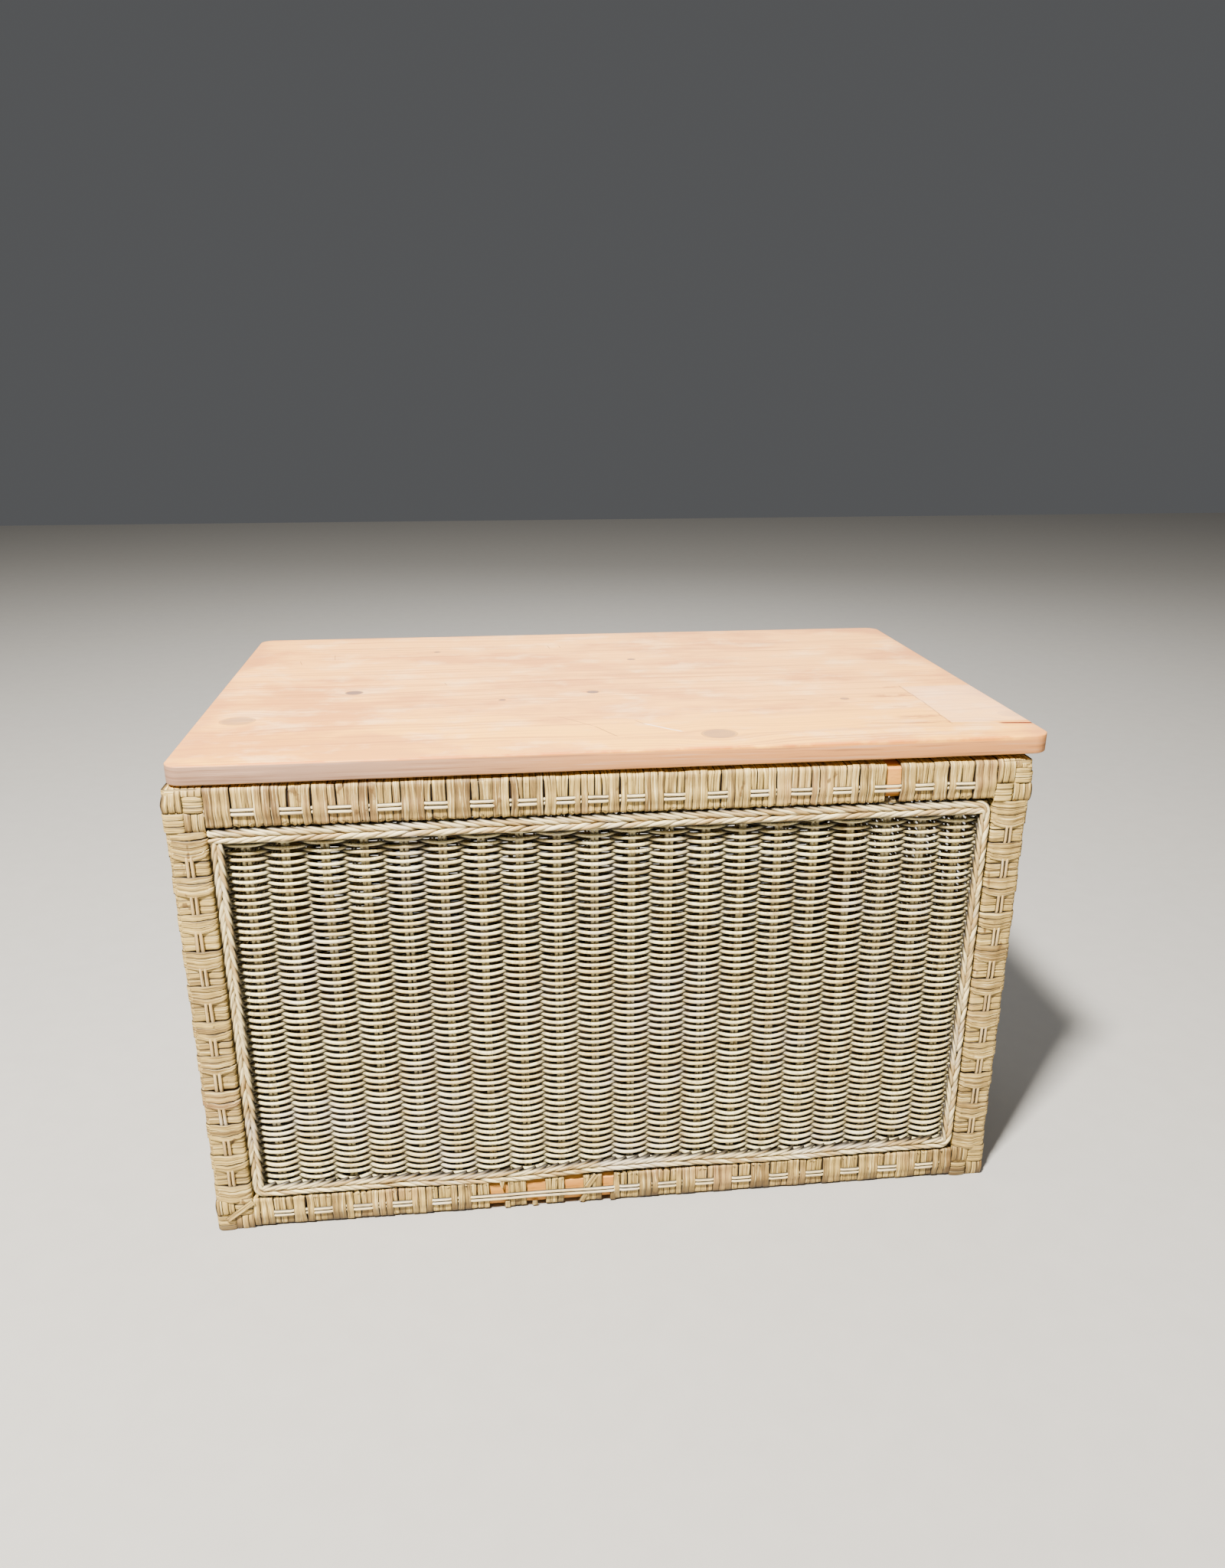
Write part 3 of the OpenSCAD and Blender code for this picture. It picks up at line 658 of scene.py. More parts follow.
def corner_blocks(name, cane):
    """The two-by-two chequers at the four corners of one side, and what shows of them on its top."""
    axes, half = SIDES[name], SIDE_LENGTH[name] / 2
    wraps_round = name in ("front", "back")
    column_w = POST / 2
    run = column_w - 1.5 * MM
    build = Build()
    for end in (-1, 1):
        left = -half if end < 0 else half - POST
        for is_top in (False, True):
            split = TOP_SPLIT if is_top else BOTTOM_SPLIT
            bottom = POST_HIGH if is_top else 0.0
            edge = FRAME_TOP - 1.8 * MM if is_top else POST_LOW
            for column in (0, 1):
                outer = column == (0 if end < 0 else 1)
                x = left + column * column_w
                bare_top = outer and not wraps_round
                over_top = run if not bare_top else 0.0
                for row in (0, 1):
                    low, high = ((bottom, split), (split, edge))[row]
                    upright = (column + row) % 2 == (1 if wraps_round else 0)
                    last = is_top and row == 1 and not bare_top
                    if is_top and row == 1 and bare_top:
                        high -= 1.0 * MM
                    if upright:
                        block(build, axes, (x, low), (column_w, high - low), False, last, over_top)
                        continue
                    if last:
                        cap = high - TOP_CAP
                        block(build, axes, (x, cap), (column_w, high - cap), False, True, over_top)
                        high = cap
                    if outer and wraps_round:
                        block(build, axes, (x, low), (column_w, high - low), True, True, run, end < 0)
                    elif not outer:
                        block(build, axes, (x, low), (column_w, high - low), True)
        if wraps_round:
            top = axes.place(np.array([0, 0, FRAME_TOP - 0.2 * MM]))
            inner = Axes(top, axes.rows[0], -UP, axes.rows[1])
            x = -half + column_w if end < 0 else half - POST
            block(build, inner, (x, column_w), (column_w, column_w), end < 0)
    build.piece(f"cane_corners_{name}", cane, "carcass", [], "cane_wrap")


def core(node, axis, wood):
    """A post or rail inside its wrapping, its long edges chamfered and a post's top brought in."""
    low, high = limits(node)
    others = [i for i in range(3) if i != axis]
    mid, half = ((low + high) / 2)[others], ((high - low) / 2)[others] - CORE_INSET
    corners = []
    for sx, sy in ((-1, -1), (1, -1), (1, 1), (-1, 1)):
        flat = half - CORE_CHAMFER
        pair = [(sx * half[0], sy * flat[1]), (sx * flat[0], sy * half[1])]
        corners += pair if sx * sy < 0 else pair[::-1]
    outline = np.array(corners)[np.argsort([math.atan2(b, a) for a, b in corners])]
    if axis == 2:
        stations = [low[2], high[2] - 14 * MM, high[2] - 8 * MM, high[2] - 3.5 * MM]
        shrink = [1, 1, 0.86, 0.6]
    else:
        stations, shrink = [low[axis], high[axis]], [1, 1]
    n, k = len(stations), len(outline)
    co = np.empty((n, k, 3))
    co[..., others] = mid + outline[None] * np.array(shrink)[:, None, None]
    co[..., axis] = np.array(stations)[:, None]
    build = Build()
    build.add(co, np.zeros((n, k, 3)), [f[:, ::-1] if axis == 1 else f for f in skin(n, k)])
    piece = build.piece(f"wood_{node}", wood, "carcass", [node], "frame_wood")
    piece.data.polygons.foreach_set("use_smooth", np.zeros(len(piece.data.polygons), bool))


# ---- Lid ----

BOARDS = [f"lid_board_{i}" for i in (1, 2, 3, 4)]
LID_LOW = np.min([limits(b)[0] for b in BOARDS], axis=0)
LID_HIGH = np.max([limits(b)[1] for b in BOARDS], axis=0)
LID_MID = (LID_LOW + LID_HIGH) / 2
LID_TOP, LID_WIDTH, LID_DEPTH = LID_HIGH[2], LID_HIGH[0] - LID_LOW[0], LID_HIGH[1] - LID_LOW[1]
# Radii of the lid's corners, its arrises and the boards' seams, and the most its twist lifts a corner
CORNER_R, EASE, SEAM_EASE = 16.0 * MM, 1.6 * MM, 0.35 * MM
TWIST = 1.6 * MM
# The split at the right end: its distance from the front, how it slants, its open length and depth
SPLIT_END, SPLIT_SLOPE = 41.0 * MM, 0.112
SPLIT_OPEN, SPLIT_DEEP = 34 * MM, 7 * MM


def lid_lift(x, y):
    """The lid's twist: its front left corner sits lower than its front right one."""
    forward = (LID_HIGH[1] - y) / LID_DEPTH
    return TWIST * forward * (x - LID_MID[0]) / (LID_HIGH[0] - LID_MID[0])


def corner_inset(x, radius):
    """How far a round corner's edge stands back at x."""
    into = np.minimum(x - LID_LOW[0], LID_HIGH[0] - x)
    gap = np.clip(radius - into, 0, radius)
    return radius - np.sqrt(radius ** 2 - gap ** 2)


def edge_arc(ease, count=4):
    """Quarter round from a level face to an upright one: (share in, share down) of ease."""
    a = np.linspace(0, math.pi / 2, count)
    return ease * (1 - np.sin(a)), ease * (1 - np.cos(a))


def lid_board(i, material):
    """One board, swept along the lid: eased arrises, round outer corners and, in front, a split."""
    low, high = limits(BOARDS[i])
    ends = EASE * (1 - np.cos(np.linspace(0, math.pi / 2, 5)))
    inner = np.concatenate([ends, np.linspace(2.5, 20, 12) * MM])
    x = np.concatenate([low[0] + inner, np.linspace(low[0] + 24 * MM, high[0] - 24 * MM, 90),
                        high[0] - inner[::-1]])
    into = np.minimum(x - low[0], high[0] - x)
    end_drop = EASE - np.sqrt(np.clip(EASE ** 2 - np.clip(EASE - into, 0, EASE) ** 2, 0, None))
    front = low[1] + (corner_inset(x, CORNER_R) if i == 0 else 0 * x)
    back = high[1] - (corner_inset(x, CORNER_R) if i == len(BOARDS) - 1 else 0 * x)
    ease_front = EASE if i == 0 else SEAM_EASE
    ease_back = EASE if i == len(BOARDS) - 1 else SEAM_EASE
    rings = []
    for k, (y0, y1, drop) in enumerate(zip(front, back, end_drop)):
        split_y = low[1] + SPLIT_END + SPLIT_SLOPE * (high[0] - x[k])
        open_share = np.clip(1 - (high[0] - x[k]) / SPLIT_OPEN, 0, 1)
        gap, deep = (0.5 + 1.3 * open_share) * MM, SPLIT_DEEP * open_share ** 0.7
        ys = np.linspace(y0 + ease_front, y1 - ease_back, 26)
        zs = np.full(26, high[2] - drop)
        if i == 0:
            hole = split_y + gap * np.array([-1, -0.55, 0, 0.55, 1])
            ys = np.concatenate([np.linspace(y0 + ease_front, hole[0] - 0.4 * MM, 10), hole,
                                 np.linspace(hole[-1] + 0.4 * MM, y1 - ease_back, 16)])
            zs = np.full(len(ys), high[2] - drop)
            zs[10:15] -= deep * np.array([0, 0.8, 1, 0.8, 0])
        fy, fz = edge_arc(ease_front)
        by, bz = edge_arc(ease_back)
        top, foot = high[2] - drop, low[2] + drop
        below = np.linspace(y1 - ease_back, y0 + ease_front, 8)[1:-1]
        runs = [(y0 + fy[:0:-1], top - fz[:0:-1]), (ys, zs), (y1 - by[1:], top - bz[1:]),
                (y1 - by[::-1], foot + bz[::-1]), (below, foot + 0 * below), (y0 + fy, foot + fz)]
        ring_y, ring_z = (np.concatenate(run) for run in zip(*runs))
        rings.append(np.stack([np.full_like(ring_y, x[k]), ring_y, ring_z], -1))
    co = np.array(rings)
    under = (co[..., 2] < low[2] + 0.3 * MM).astype(float)
    co[..., 2] += lid_lift(co[..., 0], co[..., 1])
    if i == 0:
        worn = 0.25 * MM * np.sin(co[..., 0] * 37) * np.sin(co[..., 0] * 91 + 1)
        co[..., 1] += worn * (co[..., 1] < low[1] + 2 * MM)
    m, k = co.shape[:2]
    strand = np.zeros((m, k, 3))
    strand[..., 0] = co[..., 0]
    strand[..., 1] = co[..., 1]
    strand[..., 2] = (i + 0.5) / len(BOARDS)
    quads, near, far = skin(m, k)
    build = Build()
    build.add(co, strand, [quads[:, [0, 3, 2, 1]], near[:, ::-1], far[:, ::-1]], under)
    piece = build.piece(f"pine_{BOARDS[i]}", material, "lid", [BOARDS[i]], "lid_pine")
    sharp = piece.modifiers.new("edges", "EDGE_SPLIT")
    sharp.split_angle = math.radians(50)


# ---- Materials ----

def linear(r, g, b):
    """Linear colour from 8-bit sRGB."""
    f = lambda v: v / 12.92 if v <= 0.04045 else ((v + 0.055) / 1.055) ** 2.4
    return (f(r / 255), f(g / 255), f(b / 255), 1)


def operator(operation, swapped=False):
    """A method of Value that adds a math node for one of Python's operators."""
    def method(self, other):
        return self.shade.math(operation, *((other, self) if swapped else (self, other)))
    return method


class Value:
    """One number in a material. Arithmetic on it adds nodes to the material's tree."""

    __array_ufunc__ = None
    __add__, __radd__ = operator("ADD"), operator("ADD", True)
    __sub__, __rsub__ = operator("SUBTRACT"), operator("SUBTRACT", True)
    __mul__ = operator("MULTIPLY")

    def __init__(self, shade, socket):
        self.shade, self.socket = shade, socket

    def __abs__(self):
        return self.shade.math("ABSOLUTE", self)


class Shade:
    """Short names for building a material's nodes. A colour is three 8-bit sRGB numbers, four linear ones
    or a socket, and colour is what has been painted so far."""

    def __init__(self, name, roughness=0.6):
        self.material = bpy.data.materials.new(name)
        self.material.use_nodes = True
        self.tree = self.material.node_tree
        self.shader = self.tree.nodes["Principled BSDF"]
        self.shader.inputs["Roughness"].default_value = roughness
        self.colour = None

    def node(self, kind, **values):
        node = self.tree.nodes.new(kind)
        for key, value in values.items():
            setattr(node, key, value)
        return node

    def feed(self, socket, value):
        value = value.socket if isinstance(value, Value) else value
        value = linear(*value) if isinstance(value, tuple) and len(value) == 3 else value
        if isinstance(value, bpy.types.NodeSocket):
            self.tree.links.new(value, socket)
        else:
            socket.default_value = value

    def math(self, operation, *values):
        node = self.node("ShaderNodeMath", operation=operation)
        for socket, value in zip(node.inputs, values):
            self.feed(socket, value)
        return Value(self, node.outputs[0])

    def mix(self, share, a, b):
        node = self.node("ShaderNodeMix", data_type="RGBA", clamp_factor=True)
        for index, value in ((0, share), (6, a), (7, b)):
            self.feed(node.inputs[index], value)
        return node.outputs[2]

    def coat(self, share, colour):
        """Paints a colour over what is there, where share is 1."""
        self.colour = self.mix(share, self.colour, colour)

    def split(self, vector):
        node = self.node("ShaderNodeSeparateXYZ")
        self.feed(node.inputs[0], vector)
        return [Value(self, socket) for socket in node.outputs]

    def join(self, x, y, z):
        node = self.node("ShaderNodeCombineXYZ")
        for socket, value in zip(node.inputs, (x, y, z)):
            self.feed(socket, value)
        return node.outputs[0]

    def scaled(self, vector, x, y, z):
        node = self.node("ShaderNodeVectorMath", operation="MULTIPLY")
        self.feed(node.inputs[0], vector)
        node.inputs[1].default_value = (x, y, z)
        return node.outputs[0]

    def noise(self, vector, scale=1.0, detail=3.0, rough=0.55):
        node = self.node("ShaderNodeTexNoise")
        self.feed(node.inputs["Vector"], vector)
        for key, value in (("Scale", scale), ("Detail", detail), ("Roughness", rough)):
            node.inputs[key].default_value = value
        return Value(self, node.outputs["Fac"])

    def strand(self):
        return self.node("ShaderNodeAttribute", attribute_name="strand").outputs["Vector"]

    def sunk(self):
        return Value(self, self.node("ShaderNodeAttribute", attribute_name="sunk").outputs["Fac"])

    def place(self):
        return self.node("ShaderNodeTexCoord").outputs["Object"]

    def band(self, value, low, high):
        """0 up to low, 1 from high on, smooth between them."""
        node = self.node("ShaderNodeMapRange", interpolation_type="SMOOTHSTEP", clamp=True)
        self.feed(node.inputs[0], value)
        node.inputs[1].default_value, node.inputs[2].default_value = low, high
        return Value(self, node.outputs[0])

    def finish(self, height=None, strength=0.3, distance=0.0003, roughness=None):
        """Joins colour, bumps and roughness to the shader, and gives the material."""
        self.feed(self.shader.inputs["Base Color"], self.colour)
        if roughness is not None:
            self.feed(self.shader.inputs["Roughness"], roughness)
        if height is not None:
            bump_node = self.node("ShaderNodeBump")
            bump_node.inputs["Strength"].default_value = strength
            bump_node.inputs["Distance"].default_value = distance
            self.feed(bump_node.inputs["Height"], height)
            self.feed(self.shader.inputs["Normal"], bump_node.outputs[0])
        return self.material


def rattan(name, pale, body, deep, wash=0.4, painted_shade=0.97, bare=None, roughness=0.5):
    """Round rattan: fine fibres along each strand, tone from strand to strand, worn whitewash, and painted
    shade, near black, where it is tucked away. bare is the colour of strands that have no whitewash."""
    s = Shade(name, roughness)
    along, across, number = s.split(s.strand())
    at = s.join(along * 45, across * 900, number * 53)
    fibres = s.noise(at, 1.0, 4.0, 0.66)
    coarse = s.noise(s.join(along * 24, across * 450, number * 91), 1.0, 2.0)
    patch = s.noise(s.place(), 13.0, 4.0, 0.6)
    tone = number * 0.8 + coarse * 0.6 + (patch - 0.5) * 0.9
    s.colour = s.mix(s.band(tone, 0.45, 0.95), pale, body)
    s.coat(s.band(fibres, 0.49, 0.63) * 0.65, deep)
    chalk = s.band(patch + fibres * 0.5, 0.76, 0.95) * wash
    s.coat(chalk, (250, 243, 226))
    aged = s.noise(s.join(along * 60, number, 0.0), 1.0, 2.0)
    s.coat(s.band(aged, 0.6, 0.74) * 0.45, (150, 118, 66))
    if bare:
        s.coat(s.band(number, 1.2, 1.6), bare)
    # Painted shade: near black where the strand is tucked away or turned from the light, its share set per
    # material
    dark = s.band(s.sunk(), 0.05, 0.68) * painted_shade
    s.coat(dark, (16, 10, 4))
    height = fibres + coarse * 0.6
    return s.finish(height, 0.45, 0.0003, roughness - 0.1 + fibres * 0.3)


def strap_cane(name):
    """Flat strips: a woody grain lengthwise, dark threads, brown water spots, and stained lower ends."""
    s = Shade(name, 0.62)
    along, across, number = s.split(s.strand())
    seed = number * 71
    fibres = s.noise(s.join(along * 22, across * 640, seed), 1.0, 4.0, 0.7)
    coarse = s.noise(s.join(along * 9, across * 210, seed), 1.0, 2.0)
    patch = s.noise(s.place(), 30.0, 4.0, 0.65)
    broad = s.noise(s.place(), 8.0, 3.0, 0.6)
    tone = number * 0.55 + coarse * 0.5 + (broad - 0.5) * 1.0
    s.colour = s.mix(s.band(tone, 0.25, 0.95), (192, 160, 84), (118, 88, 40))
    s.coat(s.band(fibres, 0.5, 0.62) * 0.8, (66, 46, 20))
    s.coat(s.band(fibres, 0.46, 0.35) * 0.7, (238, 216, 152))
    rosy = s.band(s.noise(s.place(), 11.0, 2.0), 0.54, 0.7)
    s.coat(rosy * 0.22, (196, 144, 98))
    spots = s.noise(s.scaled(s.place(), 1, 1, 0.55), 150.0, 1.0)
    clustered = s.band(spots, 0.62, 0.69) * s.band(patch, 0.5, 0.62)
    s.coat(clustered * 0.8, (92, 62, 20))
    low = s.split(s.place())[2] + (fibres - 0.5) * 0.03
    stain = s.band(low, 0.015, 0.003) * s.band(number, 0.42, 0.6)
    s.coat(stain * 0.75, (66, 48, 24))
    # Painted shade: near black at the strips' edges and where they are tucked away
    s.coat(s.band(s.sunk(), 0.08, 0.8) * 0.94, (30, 19, 8))
    height = fibres + coarse * 0.8
    return s.finish(height, 0.8, 0.0006, 0.5 + fibres * 0.3)


def raw_wood(name, light, dark, stretch=(1, 1, 1), fine=260.0, roughness=0.62, bare=None):
    """Plain unfinished wood with its grain along the direction that stretch shortens. bare is the stretch,
    from the frame's left, where no wrapping hides it: elsewhere the wood is painted dark, as shade in the
    straps' slits."""
    s = Shade(name, roughness)
    at = s.scaled(s.place(), *stretch)
    darker = tuple(0.55 * c for c in linear(*dark)[:3]) + (1,)
    grain = s.noise(at, fine, 5.0, 0.6)
    broad = s.noise(at, fine / 7, 3.0)
    s.colour = s.mix(s.band(broad, 0.35, 0.7), light, dark)
    s.coat(s.band(grain, 0.52, 0.72) * 0.5, darker)
    if bare:
        left = s.split(s.place())[0] - FRAME_LOW[0]
        unshaded = s.band(left, bare[0] - 4 * MM, bare[0]) * s.band(left, bare[1] + 4 * MM, bare[1])
        # Painted shade: outside the bare stretch the wood is darkened, as shade in the slits between straps
        s.coat(1.0 - unshaded, (72, 50, 26))
    return s.finish(grain, 0.25, 0.0003)


def metal(name, colour, tarnish, roughness):
    """Dull metal with tarnish in patches and fine scratches."""
    s = Shade(name, roughness)
    s.shader.inputs["Metallic"].default_value = 1.0
    patches = s.noise(s.place(), 160.0, 5.0, 0.65)
    scratches = s.noise(s.scaled(s.place(), 0.15, 1, 1), 2600.0, 2.0)
    s.colour = s.mix(s.band(patches, 0.45, 0.68), colour, tarnish)
    return s.finish(scratches, 0.12, 0.0001, roughness + patches * 0.25)


# Knots in millimetres: distance from the lid's left and from its front, radius, and how dark they are
KNOTS = ((141, 231, 8, 1.0), (392, 206, 5.5, 1.0), (495, 41, 15, 0.7), (39, 136, 15, 0.6),
         (452, 352, 4, 0.85), (222, 415, 3, 0.95), (296, 185, 3, 0.95), (649, 149, 4, 0.75),
         (793, 74, 10, 0.3))
# Scratches: both ends, half width, and whether they are pale
SCRATCHES = ((348, 118, 382, 80, 0.9, 0), (382, 80, 401, 44, 1.2, 0), (430, 84, 463, 53, 1.5, 1),
             (423, 96, 432, 80, 0.9, 0), (538, 151, 609, 150, 1.3, 0), (358, 438, 361, 420, 0.9, 0),
             (372, 436, 374, 422, 0.8, 0), (64, 385, 68, 364, 0.7, 0), (101, 411, 104, 385, 0.7, 0),
             (235, 264, 238, 252, 0.8, 0))


def pine(name):
    """Whitewashed pine: long grain that bends round knots, rubbed patches, scuffs and a stained edge."""
    s = Shade(name, 0.58)
    x, y, z = s.split(s.place())
    left = x - LID_LOW[0]
    depth = y - LID_LOW[1]
    board = s.split(s.strand())[2]
    bend, knots, rings = 0.0, 0.0, 0.0
    for kx, ky, r, dark in KNOTS:
        dx = (left - kx * MM) * 0.85
        dy = depth - ky * MM
        d = s.math("SQRT", dx * dx + dy * dy)
        near = s.math("EXPONENT", d * d * (-1 / (2.2 * r * MM) ** 2))
        bend = bend + near * (dy * 0.9)
        inside = s.band(d, r * MM, 0.8 * r * MM) * dark
        edge = s.band(abs(d - 0.95 * r * MM), 0.0012, 0.0) * (0.6 * dark)
        knots = s.math("MAXIMUM", knots, inside)
        rings = s.math("MAXIMUM", rings, edge)
    warp = s.noise(s.scaled(s.place(), 1, 3, 1), 3.2, 3.0)
    across = depth - bend + (warp - 0.5) * 0.03
    grain_at = s.join(left * 2.2, across * 190, z * 60 + board * 40)
    grain = s.noise(grain_at, 1.0, 4.0, 0.6)
    fine = s.noise(s.join(left * 26, across * 1500, z), 1.0, 3.0, 0.6)
    patch = s.noise(s.scaled(s.place(), 0.7, 1.3, 1), 7.5, 4.0, 0.6)
    blotch = s.noise(s.scaled(s.place(), 0.8, 1.2, 1), 21.0, 4.0, 0.65)

    front = depth + (blotch - 0.5) * 0.16
    s.colour = s.mix(s.band(front, 0.02, 0.2), (255, 180, 66), (246, 174, 86))
    s.coat(s.band(patch, 0.46, 0.62) * 0.75, (206, 132, 66))
    s.coat(s.band(blotch, 0.48, 0.7) * 0.55, (255, 206, 146))
    s.coat(s.band(grain, 0.48, 0.68) * 0.6, (180, 116, 62))
    s.coat(s.band(fine, 0.54, 0.7) * 0.25, (150, 108, 74))
    border = s.math("MINIMUM", s.math("MINIMUM", left, LID_WIDTH - left), LID_DEPTH - depth)
    rubbed = border + patch * -0.09
    s.coat(s.band(rubbed, -0.02, -0.045) * 0.6, (196, 128, 72))
    s.coat(knots, (120, 92, 76))
    s.coat(rings, (78, 58, 46))
    for x0, y0, x1, y1, half, is_pale in SCRATCHES:
        length = math.hypot(x1 - x0, y1 - y0)
        ux, uy = (x1 - x0) / length, (y1 - y0) / length
        dx, dy = left - x0 * MM, depth - y0 * MM
        on = dx * ux + dy * uy
        off = abs(dy * ux - dx * uy + (warp - 0.5) * 0.01)
        ends = s.band(on, -0.002, 0.004) * s.band(on, (length + 2) * MM, (length - 4) * MM)
        line = s.band(off, half * MM, 0.3 * half * MM) * ends
        s.coat(line * 0.7, (250, 238, 220) if is_pale else (140, 88, 48))
    on_top = s.band(z, LID_TOP - 12 * MM, LID_TOP - 8 * MM)
    unmarked = s.colour
    scuffs(s, left, depth, blotch)
    s.colour = s.mix(on_top, unmarked, s.colour)
    s.coat(s.sunk() * 0.75, s.mix(s.band(grain, 0.4, 0.65), (208, 174, 118), (176, 136, 82)))
    on_edge = s.band(z, LID_TOP - 1.2 * MM, LID_TOP - 3.2 * MM)
    edge_colour = s.mix(s.band(left, 0.1, 0.5), (150, 116, 92), (190, 126, 66))
    streaks = s.noise(s.join(left * 9, z * 420, y), 1.0, 4.0, 0.65)
    edge_colour = s.mix(s.band(streaks, 0.5, 0.66) * 0.5, edge_colour, (104, 66, 42))
    edge_colour = s.mix(s.band(streaks, 0.45, 0.34) * 0.4, edge_colour, (186, 148, 122))
    s.coat(on_edge * (1.0 - s.sunk()), edge_colour)
    arris = s.band(depth, 0.004, 0.001) * s.band(z, LID_TOP - 3 * MM, LID_TOP - 1.5 * MM)
    arris = arris * s.band(blotch, 0.36, 0.52)
    s.coat(arris * 0.85, (206, 118, 34))
    height = grain * 0.7 + fine * 0.5
    return s.finish(height, 0.3, 0.0004, 0.48 + blotch * 0.25)


def scuffs(s, left, depth, blotch):
    """A paler patch at the right end with brown scuffed borders, and the split's dark walls."""
    right = LID_WIDTH - left
    inside = s.band(right, 0.079, 0.076) * (s.band(depth, 0.05, 0.053) * s.band(depth, 0.192, 0.188))
    s.coat(inside * 0.32, (240, 200, 168))
    rub = s.noise(s.scaled(s.place(), 0.3, 1, 1), 150.0, 4.0, 0.7)
    near = s.band(right, 0.131, 0.108) * s.band(right, 0.0765, 0.0785)
    rows = 0.0
    for middle, half in ((0.190, 0.004), (0.155, 0.009), (0.112, 0.004), (0.075, 0.008), (0.054, 0.004)):
        away = abs(depth - middle)
        rows = s.math("MAXIMUM", rows, s.band(away, half, 0.3 * half))
    scuff = near * rows * s.band(rub, 0.42, 0.56)
    s.coat(scuff * 0.75, (170, 108, 52))
    wander = (blotch - 0.5) * 0.008
    away = abs(right + wander - 0.0775)
    line = s.band(away, 0.0011, 0.0003) * (s.band(depth, 0.045, 0.05) * s.band(depth, 0.197, 0.193))
    s.coat(line * 0.6, (136, 86, 48))
    off = depth - (SPLIT_END + right * SPLIT_SLOPE)
    off = abs(off + wander * 0.15)
    crack = s.band(off, 0.0014, 0.0002) * s.band(right, 0.18, 0.135)
    s.coat(crack * 0.7, (104, 62, 40))
    wide = s.band(off, 0.0042, 0.0022) * s.band(right, 0.036, 0.026)
    s.coat(wide * 0.8, (212, 120, 56))
    wide = s.band(off, 0.0026, 0.0014) * s.band(right, 0.034, 0.028)
    s.coat(wide, (92, 34, 22))


# ---- Set ----

# Camera: its place from the middle of the front's foot, its yaw, pitch down and roll in degrees, and its
# lens on a 36 mm sensor
EYE = np.array([-111.6, -955.6, 795.5]) * MM
EYE_TURN = (6.529, 19.403, -0.124)
LENS = 26.03
FLOOR_HALF = 6.0


def camera():
    """Looks down on the front from the left of its middle, at standing height."""
    place = SIDES["front"].origin + EYE
    yaw, pitch, roll = (math.radians(v) for v in EYE_TURN)
    forward = np.array([math.sin(yaw) * math.cos(pitch), math.cos(yaw) * math.cos(pitch), -math.sin(pitch)])
    level = np.array([math.cos(yaw), -math.sin(yaw), 0])
    down = np.cross(forward, level)
    right = math.cos(roll) * level + math.sin(roll) * down
    up = math.sin(roll) * level - math.cos(roll) * down
    matrix = Matrix.Identity(4)
    for i, axis in enumerate((right, up, -forward, place)):
        for j in range(3):
            matrix[j][i] = axis[j]
    data = bpy.data.cameras.new("camera")
    data.lens, data.sensor_width = LENS, 36.0
    data.clip_start = 0.01
    eye = bpy.data.objects.new("camera", data)
    eye.matrix_world = matrix
    bpy.context.scene.collection.objects.link(eye)
    bpy.context.scene.camera = eye


def lamp(name, place, aim, size, watts, colour=(1, 1, 1)):
    data = bpy.data.lights.new(name, "AREA")
    data.shape, data.size, data.energy, data.color = "SQUARE", size, watts, colour
    light = bpy.data.objects.new(name, data)
    light.location = place
    light.rotation_euler = (Vector(aim) - Vector(place)).to_track_quat("-Z", "Y").to_euler()
    bpy.context.scene.collection.objects.link(light)


def studio():
    """A pale floor under soft light from above the front."""
    mesh = bpy.data.meshes.new("floor")
    r = FLOOR_HALF
    mesh.from_pydata([(-r, -r, 0), (r, -r, 0), (r, r, 0), (-r, r, 0)], [], [(0, 1, 2, 3)])
    floor = bpy.data.objects.new("floor", mesh)
    s = Shade("floor_paint", 0.9)
    speckle = s.noise(s.place(), 30.0, 3.0)
    s.colour = s.mix(speckle, (156, 153, 148), (163, 160, 155))
    mesh.materials.append(s.finish())
    bpy.context.scene.collection.objects.link(floor)
    world = bpy.data.worlds.new("studio")
    bpy.context.scene.world = world
    world.use_nodes = True
    background = world.node_tree.nodes["Background"]
    background.inputs[0].default_value = (0.95, 0.97, 1.0, 1)
    background.inputs[1].default_value = 0.1
    lamp("key", (-1.0, -1.6, 3.1), (0, 0, 0.25), 0.35, 670, (1.0, 0.965, 0.9))
    lamp("fill", (2.4, -1.8, 1.5), (0, 0, 0.25), 1.8, 7, (0.95, 0.97, 1.0))
    lamp("back", (0.4, 2.4, 2.2), (0, 0, 0.3), 1.8, 50)


# ---- Making ----

camera()
studio()

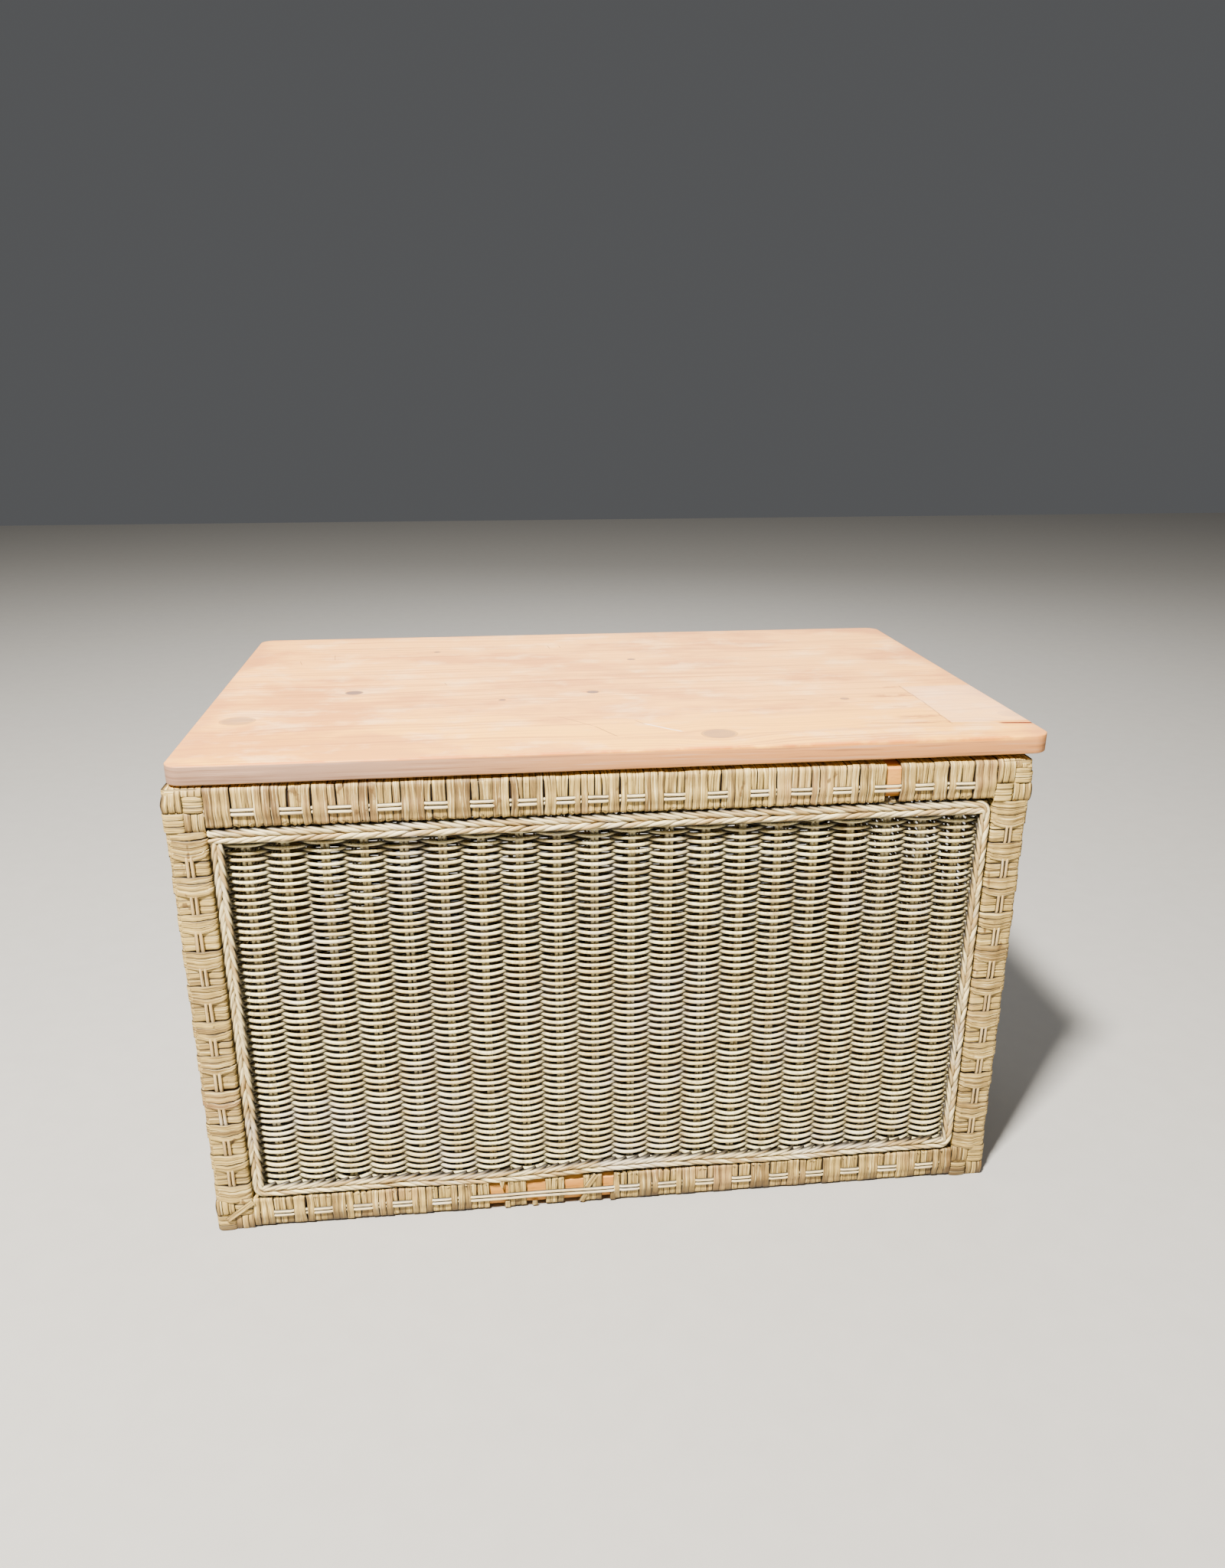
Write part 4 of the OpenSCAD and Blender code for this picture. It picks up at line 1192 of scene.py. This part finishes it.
straps = strap_cane("strap_cane")
woven = rattan("woven_rattan", (244, 228, 168), (196, 170, 104), (112, 84, 38))
# Painted light: the stakes are paler than the woven rods so that they show bright in the shaded gaps
uprights = rattan("stake_rattan", (246, 230, 176), (224, 198, 134), (140, 108, 60), painted_shade=0.8)
plaited = rattan("braid_rattan", (232, 210, 152), (180, 148, 88), (106, 76, 34))
liners = rattan("liner_cane", (240, 216, 160), (196, 164, 104), (122, 90, 46),
                wash=0.5, bare=(214, 138, 50))
# Painted shade: the cores are dark brown so that the slits between straps look shaded; the front rails'
# cores are orange only where their straps are gone
core_wood = raw_wood("core_wood", (116, 82, 42), (84, 58, 28), (0.2, 0.2, 1))
bare_woods = {level: raw_wood(f"bare_{level}_wood", (226, 156, 60), (200, 126, 44), (0.2, 1, 1),
                              bare=zone)
              for level, zone in (("top", BARE_TOP), ("bottom", BARE_BOTTOM))}

for name in SIDE_NAMES:
    weave_panel(name, woven, 4 if GROUPS[name] > 12 else 2)
    stake_panel(name, uprights)
    braid(name, plaited)
    rail(name, "top", straps, liners)
    rail(name, "bottom", straps, liners)
    corner_blocks(name, straps)
    for level in ("top", "bottom"):
        wood = bare_woods[level] if name == "front" else core_wood
        core(f"{level}_rail_{name}", 0 if name in ("front", "back") else 1, wood)
for corner in ("front_left", "front_right", "back_right", "back_left"):
    post(corner, straps, liners)
    core(f"post_{corner}", 2, core_wood)
lid_wood = pine("lid_pine")
for i in range(len(BOARDS)):
    lid_board(i, lid_wood)

carried = {
    "frame_wood": core_wood,
    "plywood": raw_wood("plywood", (214, 186, 142), (196, 164, 118), (0.15, 1, 1)),
    "batten_pine": raw_wood("batten_pine", (222, 190, 146), (202, 166, 120), (1, 0.12, 1)),
    "hinge_brass": metal("hinge_brass", (196, 158, 92), (120, 92, 52), 0.34),
    "screw_steel": metal("screw_steel", (176, 172, 164), (112, 106, 98), 0.38),
    "nail_steel": metal("nail_steel", (120, 116, 110), (82, 70, 60), 0.45),
}
for part in frame["record"]["subparts"]:
    cad = frame["nodes"][part["node"]]
    if part["material_slot"] in carried:
        cad.data.materials.clear()
        cad.data.materials.append(carried[part["material_slot"]])
